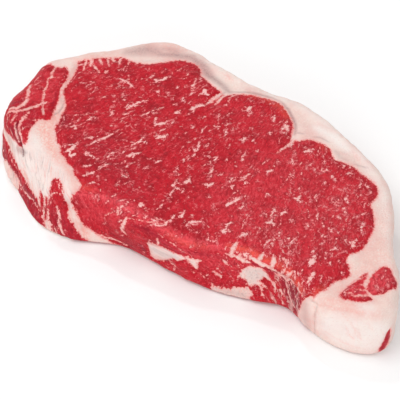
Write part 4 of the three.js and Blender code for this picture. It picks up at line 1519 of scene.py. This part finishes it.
@dataclass
class SteakSkin:
    """The steak's whole outer skin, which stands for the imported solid. Lengths in mm."""

    name: str = "steak_skin"
    cell: float = 0.62  # of the fine skin
    easing: int = 12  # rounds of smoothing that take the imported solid's facets off
    even_floor: float = 6.5  # from here in from the rim, the resting face is divided half as finely
    flat_to: float = 0.12  # what lies lower is part of the resting face
    lump: float = 0.16
    ripple: float = 0.07
    pebble: float = 0.035
    strand: float = 0.16
    inner: float = 35.0  # h from which a point surely lies on the top face
    lean_step: float = 0.2
    furrow: float = 0.28
    slimness: float = 0.88  # of a placed fleck, whose spurs add to its width
    spur_seed: int = 8
    finish: RawMeat = field(default_factory=RawMeat)
    marbling: Marbling = field(default_factory=Marbling)

    def build(self, node: bpy.types.Object) -> bpy.types.Object:
        """Builds and dresses the skin.

        Args:
            node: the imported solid.

        Returns:
            The finished piece.
        """
        lowest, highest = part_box("steak")
        rim = Rim(node)
        skin = self._blank(node, rim)
        log.info("blank skin: %d points, rim %.1f mm", len(skin.data.vertices), rim.length)
        points = gathered(skin.data.vertices, "co", float, 3) / MM
        canvas = Canvas(points, gathered(skin.data.vertex_normals, "vector", float, 3), rim)
        layers = self._layers(canvas)
        self._store(skin.data, layers)
        self._emboss(skin.data, canvas, layers)
        placed = self._placed_flecks(canvas)
        self.marbling.lay_on(skin, placed, self.finish.material())
        bpy.data.objects.remove(placed)
        self._fit(skin.data, lowest, highest)
        self._unfold(skin.data, rim)
        for polygon in skin.data.polygons:
            polygon.use_smooth = True
        return skin

    def _blank(self, node: bpy.types.Object, rim: Rim) -> bpy.types.Object:
        """Makes an even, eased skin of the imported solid's form.

        Args:
            node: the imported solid.
            rim: its rim.

        Returns:
            The blank skin.
        """
        mesh = bpy.data.meshes.new(self.name)
        form = bmesh.new()
        form.from_mesh(node.data)
        bmesh.ops.remove_doubles(form, verts=form.verts, dist=1e-6)
        form.to_mesh(mesh)
        form.free()
        skin = bpy.data.objects.new(self.name, mesh)
        bpy.context.scene.collection.objects.link(skin)
        even = skin.modifiers.new("even", "REMESH")
        even.mode = "VOXEL"
        even.voxel_size = self.cell * MM
        settle(skin)
        self._thin_floor(skin.data, rim)
        ease = skin.modifiers.new("ease", "SMOOTH")
        ease.factor = 0.5
        ease.iterations = self.easing
        settle(skin)
        for vertex in skin.data.vertices:
            if vertex.co.z < self.flat_to * MM:
                vertex.co.z = 0.0
        return skin

    def _thin_floor(self, mesh: bpy.types.Mesh, rim: Rim) -> None:
        """Merges the resting face's cells four by four, since it is flat and seldom seen.

        Args:
            mesh: the evenly divided skin.
            rim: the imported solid's rim.
        """
        form = bmesh.new()
        form.from_mesh(mesh)
        form.verts.ensure_lookup_table()
        flat = [vert for vert in form.verts if abs(vert.co.z) < 0.2 * self.cell * MM]
        points = np.array([vert.co for vert in flat]) / MM
        near = nearest_on(np.vstack([rim.loop, rim.loop[:1]]), points[:, :2])
        inner = (near.side < 0) & (near.gap > self.even_floor)
        corner = points[:, :2].min(0)
        places = np.rint((points[:, :2] - corner) / self.cell).astype(int)
        targets = {tuple(place): vert for vert, place in zip(flat, places)}
        welds = {}
        for vert, place, is_inner in zip(flat, places, inner):
            home = (int(place[0]) // 2 * 2, int(place[1]) // 2 * 2)
            target = targets.get(home)
            if is_inner and target is not None and target is not vert:
                welds[vert] = target
        # A target that is merged away itself is followed to where it goes.
        for vert in list(welds):
            while welds[vert] in welds:
                welds[vert] = welds[welds[vert]]
        bmesh.ops.weld_verts(form, targetmap=welds)
        form.to_mesh(mesh)
        form.free()

    def _layers(self, canvas: Canvas) -> dict[str, np.ndarray]:
        """Works out what lies where.

        Args:
            canvas: the skin's points.

        Returns:
            One value, or one vector, for each point under each layer's name.
        """
        lean = np.maximum(canvas.deepest(Tissue.TOP_LEAN), canvas.deepest(Tissue.WALL_LEAN))
        underneath = canvas.deepest(Tissue.TOP_LEAN, held=False)
        lean = np.where(canvas.below, underneath, lean)
        fat = canvas.deepest(Tissue.FAT_LINES + Tissue.FAT_PATCHES)
        lean = np.minimum(lean, -fat)
        # The deep furrows, which the material darkens as painted shade.
        deep = [touch for touch in Tissue.FOLDS if touch.strength <= -0.5 and isinstance(touch.mark, Stroke)]
        furrow = np.clip(-canvas.folded(deep), 0.0, 1.0)
        fibre, grain = self._fibres(canvas)
        return {
            "lean": lean,
            **{name: canvas.touched(touches) for name, touches in Tissue.TINTS.items()},
            "furrow": furrow * smoothstep(0.42, 0.95, furrow),
            "fattiness": self._fattiness(canvas, lean),
            "fibre": fibre,
            "grain": grain,
        }

    @staticmethod
    def _fattiness(canvas: Canvas, lean: np.ndarray) -> np.ndarray:
        """Tells how thickly flecks are strewn.

        Args:
            canvas: the skin's points.
            lean: the depth inside the lean.

        Returns:
            A share from 0 to 1 at each point.
        """
        x, y = canvas.plan.T
        richness = 0.5 + 0.5 * smoothstep(5.0, 45.0, x)
        patchy = smoothstep(-1.2, 1.0, Waves(21, 24.0).at(canvas.points))
        bare = smoothstep(6.0, 12.0, np.hypot(x + 73.0, (y + 1.0) * 1.3))
        on_wall = np.where(canvas.height < 20.0, 0.45, 1.0)
        return smoothstep(0.3, 1.2, lean) * richness * (0.35 + 0.65 * patchy) * (0.25 + 0.75 * bare) * on_wall

    @staticmethod
    def _fibres(canvas: Canvas) -> tuple[np.ndarray, np.ndarray]:
        """Works out which way the fibres run.

        Args:
            canvas: the skin's points.

        Returns:
            The place across and along the fibres, and the direction of the grain.
        """
        x, y = canvas.plan.T
        angle = np.radians(68.0 + 42.0 * smoothstep(-30.0, 25.0, x))
        across = x * np.sin(angle) - y * np.cos(angle)
        along = x * np.cos(angle) + y * np.sin(angle)
        grain = np.stack([np.cos(angle), np.sin(angle), np.zeros_like(x)], 1)
        on_wall = canvas.normals[:, 2] < 0.5
        sideways = np.stack([-canvas.normals[:, 1], canvas.normals[:, 0], np.zeros_like(x)], 1)
        grain = np.where(on_wall[:, None], 0.35 * sideways + np.array([0.0, 0.0, 1.0]), grain)
        fibre = np.stack([across, along, canvas.points[:, 2]], 1)
        for run in Tissue.FIBRES:
            near = nearest_on(np.array(run.route, float), canvas.unrolled)
            drawn = np.stack([near.side * near.gap, near.along, np.zeros_like(x)], 1)
            here = (canvas.around > run.start) & (canvas.around < run.end) & (canvas.height < run.ceiling)
            fibre = np.where((here & ~canvas.below)[:, None], drawn, fibre)
        return fibre, grain

    @staticmethod
    def _store(mesh: bpy.types.Mesh, layers: dict[str, np.ndarray]) -> None:
        """Stores the layers on the mesh as attributes.

        Args:
            mesh: the skin's mesh.
            layers: the values at each point.
        """
        for name, values in layers.items():
            vector = values.ndim == 2
            layer = mesh.attributes.new(name, "FLOAT_VECTOR" if vector else "FLOAT", "POINT")
            layer.data.foreach_set("vector" if vector else "value", values.astype(np.float32).ravel())

    def _emboss(self, mesh: bpy.types.Mesh, canvas: Canvas, layers: dict[str, np.ndarray]) -> None:
        """Raises and sinks the skin: lumps, muscle edges, furrows, strands and the grain of the lean.

        Args:
            mesh: the skin's mesh.
            canvas: its points.
            layers: what lies where.
        """
        lean = layers["lean"]
        fibre = layers["fibre"]
        lift = self.lump * Waves(1, 15.0).at(canvas.points) + self.ripple * Waves(2, 5.0).at(canvas.points)
        in_lean = smoothstep(-0.2, 0.6, lean)
        lift += self.pebble * Waves(3, 2.0).at(canvas.points) * (0.4 + 0.6 * in_lean)
        lift += self.lean_step * smoothstep(0.0, 1.8, lean) - self.furrow * np.exp(-((lean / 0.55) ** 2))
        drawn = fibre * np.array([1.0, 0.08, 0.0])
        strands = Waves(4, 1.7).at(drawn) + 0.7 * Waves(5, 3.4).at(drawn)
        lift += self.strand * strands * layers["sinew"] * (1.0 - 0.5 * in_lean)
        lift += canvas.folded(Tissue.FOLDS)
        lift *= smoothstep(0.2, 2.5, canvas.points[:, 2])
        moved = canvas.points + canvas.normals * lift[:, None]
        mesh.vertices.foreach_set("co", (moved * MM).astype(np.float32).ravel())
        mesh.update()

    @staticmethod
    def _spurs(route: Route, width: float, rng: np.random.Generator) -> list[tuple[Route, float]]:
        """Gives a fleck two short spurs, so that no wide one is round.

        Args:
            route: the fleck's middle line.
            width: its width.
            rng: the random numbers to draw from.

        Returns:
            The spurs, each with its width.
        """
        start, end = np.array(route[0], float), np.array(route[-1], float)
        heading = math.atan2(*(end - start)[::-1])
        spurs = []
        for turn in (1.0, -1.0):
            root = start + (end - start) * rng.uniform(0.15, 0.85)
            angle = heading + turn * rng.uniform(0.5, 1.3)
            out = np.array([math.cos(angle), math.sin(angle)]) * width * rng.uniform(0.7, 1.3)
            spurs.append(([tuple(root - 0.45 * out), tuple(root + out)], 0.55 * width))
        return spurs

    def _placed_flecks(self, canvas: Canvas) -> bpy.types.Object:
        """Draws the middle lines of the listed flecks.

        Args:
            canvas: the skin's points, which give the height of the top face.

        Returns:
            A piece of loose edges with the girth of each fleck.
        """
        level = float(np.median(canvas.points[canvas.height > self.inner][:, 2]))
        rng = np.random.default_rng(self.spur_seed)
        lines = []
        for *route, width in Tissue.FLECKS:
            lines += [(route, self.slimness * width)] + self._spurs(route, width, rng)
        points, edges, girths = [], [], []
        for route, width in lines:
            first = len(points)
            points += [(x * MM, y * MM, level * MM) for x, y in route]
            edges += [(number, number + 1) for number in range(first, len(points) - 1)]
            girths += [width] * len(route)
        mesh = bpy.data.meshes.new("placed_flecks")
        mesh.from_pydata(points, edges, [])
        mesh.attributes.new("girth", "FLOAT", "POINT").data.foreach_set("value", girths)
        placed = bpy.data.objects.new("placed_flecks", mesh)
        bpy.context.scene.collection.objects.link(placed)
        return placed

    @staticmethod
    def _fit(mesh: bpy.types.Mesh, lowest: Vector, highest: Vector) -> None:
        """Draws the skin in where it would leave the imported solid's box.

        Args:
            mesh: the skin's mesh.
            lowest: the box's lowest corner.
            highest: its highest corner.
        """
        points = gathered(mesh.vertices, "co", float, 3)
        for axis in range(3):
            low, high = lowest[axis], highest[axis]
            least, most = points[:, axis].min(), points[:, axis].max()
            points[:, axis] *= min(1.0, high / most, low / least if low < 0.0 and least < 0.0 else 1.0)
        points[:, 2] = np.maximum(points[:, 2], 0.0)
        mesh.vertices.foreach_set("co", points.astype(np.float32).ravel())
        mesh.update()

    @staticmethod
    def _unfold(mesh: bpy.types.Mesh, rim: Rim) -> None:
        """Unfolds the skin for baking: the top face, the wall in four rows and the resting face.

        Args:
            mesh: the skin's mesh.
            rim: the rim that the wall is measured along.
        """
        scale = 0.0046  # of the map's side, for each mm
        rows = 4
        row_step = 0.12
        steep = 0.45  # a face lies on the wall where its normal's z is less
        left, near = -97.7, -53.4
        owner = gathered(mesh.loops, "vertex_index", int)
        points = gathered(mesh.vertices, "co", float, 3) / MM
        sizes = gathered(mesh.polygons, "loop_total", int)
        upward = np.repeat(gathered(mesh.polygons, "normal", float, 3)[:, 2], sizes)
        face = np.repeat(np.arange(len(sizes)), sizes)
        along, _ = rim.unroll(points)
        x, y, z = points[owner].T
        first = np.zeros(len(sizes), int)
        first[1:] = np.cumsum(sizes)[:-1]
        lead = along[owner[first]][face]
        row_length = rim.length / rows
        row = np.minimum((lead // row_length).astype(int), rows - 1)
        turn = along[owner] - lead
        turn -= rim.length * np.rint(turn / rim.length)
        run = lead + turn - row * row_length
        u = 0.02 + (run + 3.0) * scale
        v = 0.01 + row * row_step + z * scale
        on_top = upward > steep
        u = np.where(on_top, 0.05 + (x - left) * scale, u)
        v = np.where(on_top, 0.505 + (y - near) * scale, v)
        beneath = upward < -steep
        u = np.where(beneath, 0.66 + (y - near) * scale / 2, u)
        v = np.where(beneath, 0.02 + (x - left) * scale / 2, v)
        layer = mesh.uv_layers.new(name="OFBake")
        layer.uv.foreach_set("vector", np.stack([u, v], 1).astype(np.float32).ravel())


@dataclass
class Studio:
    """A plain pale floor, soft light and the camera. Lengths in mm."""

    aim: tuple[float, float, float] = (-1.09, -10.94, 11.25)
    distance: float = 708.0
    elevation: float = 48.0
    turn: float = 35.0
    lens: float = 155.7
    sensor: float = 36.0
    daylight: float = 0.68
    floor_side: float = 8000.0
    floor_shade: Shade = (250, 250, 250)

    def build(self) -> None:
        """Builds the floor, the light and the camera."""
        self._floor()
        self._light()
        self._camera()

    def _floor(self) -> None:
        """Lays the floor just under the resting face."""
        half = self.floor_side * MM / 2
        level = -0.1 * MM
        mesh = bpy.data.meshes.new("floor")
        corners = [(x, y, level) for x, y in ((-half, -half), (half, -half), (half, half), (-half, half))]
        mesh.from_pydata(corners, [], [(0, 1, 2, 3)])
        floor = bpy.data.objects.new("floor", mesh)
        bpy.context.scene.collection.objects.link(floor)
        made = bpy.data.materials.new("pale_floor")
        made.use_nodes = True
        tree = Tree(made.node_tree)
        inputs = {"Base Color": linear(*self.floor_shade), "Roughness": 0.95, "Specular IOR Level": 0.1}
        shader = tree.add("ShaderNodeBsdfPrincipled", inputs)
        tree.add("ShaderNodeOutputMaterial", {"Surface": shader.outputs[0]})
        mesh.materials.append(made)

    def _light(self) -> None:
        """Lights the scene from all round and adds two broad soft boxes."""
        world = bpy.data.worlds.new("soft_room")
        world.use_nodes = True
        tree = Tree(world.node_tree)
        room = tree.add("ShaderNodeBackground", {"Color": (1.0, 1.0, 1.0, 1.0), "Strength": self.daylight})
        tree.add("ShaderNodeOutputWorld", {"Surface": room.outputs[0]})
        bpy.context.scene.world = world
        self._soft_box("key_light", (-420.0, -260.0, 950.0), 700.0, 3.8)
        self._soft_box("glint_light", (-520.0, 420.0, 850.0), 70.0, 1.2)
        self._soft_box("front_light", (650.0, -900.0, 420.0), 600.0, 3.6)

    def _soft_box(self, name: str, place: tuple[float, float, float], side: float, power: float) -> None:
        """Hangs a square soft box that faces the steak.

        Args:
            name: its name.
            place: where it hangs.
            side: its side.
            power: its power in watts.
        """
        data = bpy.data.lights.new(name, "AREA")
        data.shape = "SQUARE"
        data.size = side * MM
        data.energy = power
        light = bpy.data.objects.new(name, data)
        light.location = Vector(place) * MM
        light.rotation_euler = (-Vector(place)).to_track_quat("-Z", "Y").to_euler()
        bpy.context.scene.collection.objects.link(light)

    def _camera(self) -> None:
        """Sets the camera at the photo's angle."""
        rise, turn = math.radians(self.elevation), math.radians(self.turn)
        back = Vector((math.sin(turn) * math.cos(rise), -math.cos(turn) * math.cos(rise), math.sin(rise)))
        data = bpy.data.cameras.new("camera")
        data.lens = self.lens
        data.sensor_width = self.sensor
        data.clip_start = 0.01
        data.clip_end = 50.0
        camera = bpy.data.objects.new("camera", data)
        camera.location = (Vector(self.aim) + back * self.distance) * MM
        camera.rotation_euler = (-back).to_track_quat("-Z", "Y").to_euler()
        bpy.context.scene.collection.objects.link(camera)
        bpy.context.scene.camera = camera
        bpy.context.scene.view_settings.view_transform = "Standard"


def main() -> None:
    """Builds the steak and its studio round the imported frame."""
    logging.basicConfig(level=logging.INFO, format="%(name)s: %(message)s")
    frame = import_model()
    skin = SteakSkin().build(frame["nodes"]["steak"])
    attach(skin, "root")
    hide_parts("steak")
    triangles = sum(len(polygon.vertices) - 2 for polygon in skin.data.polygons)
    log.info("%s: %d triangles", skin.name, triangles)
    Studio().build()
    log.info("studio: floor, lights and camera")


if __name__ == "__main__":
    main()
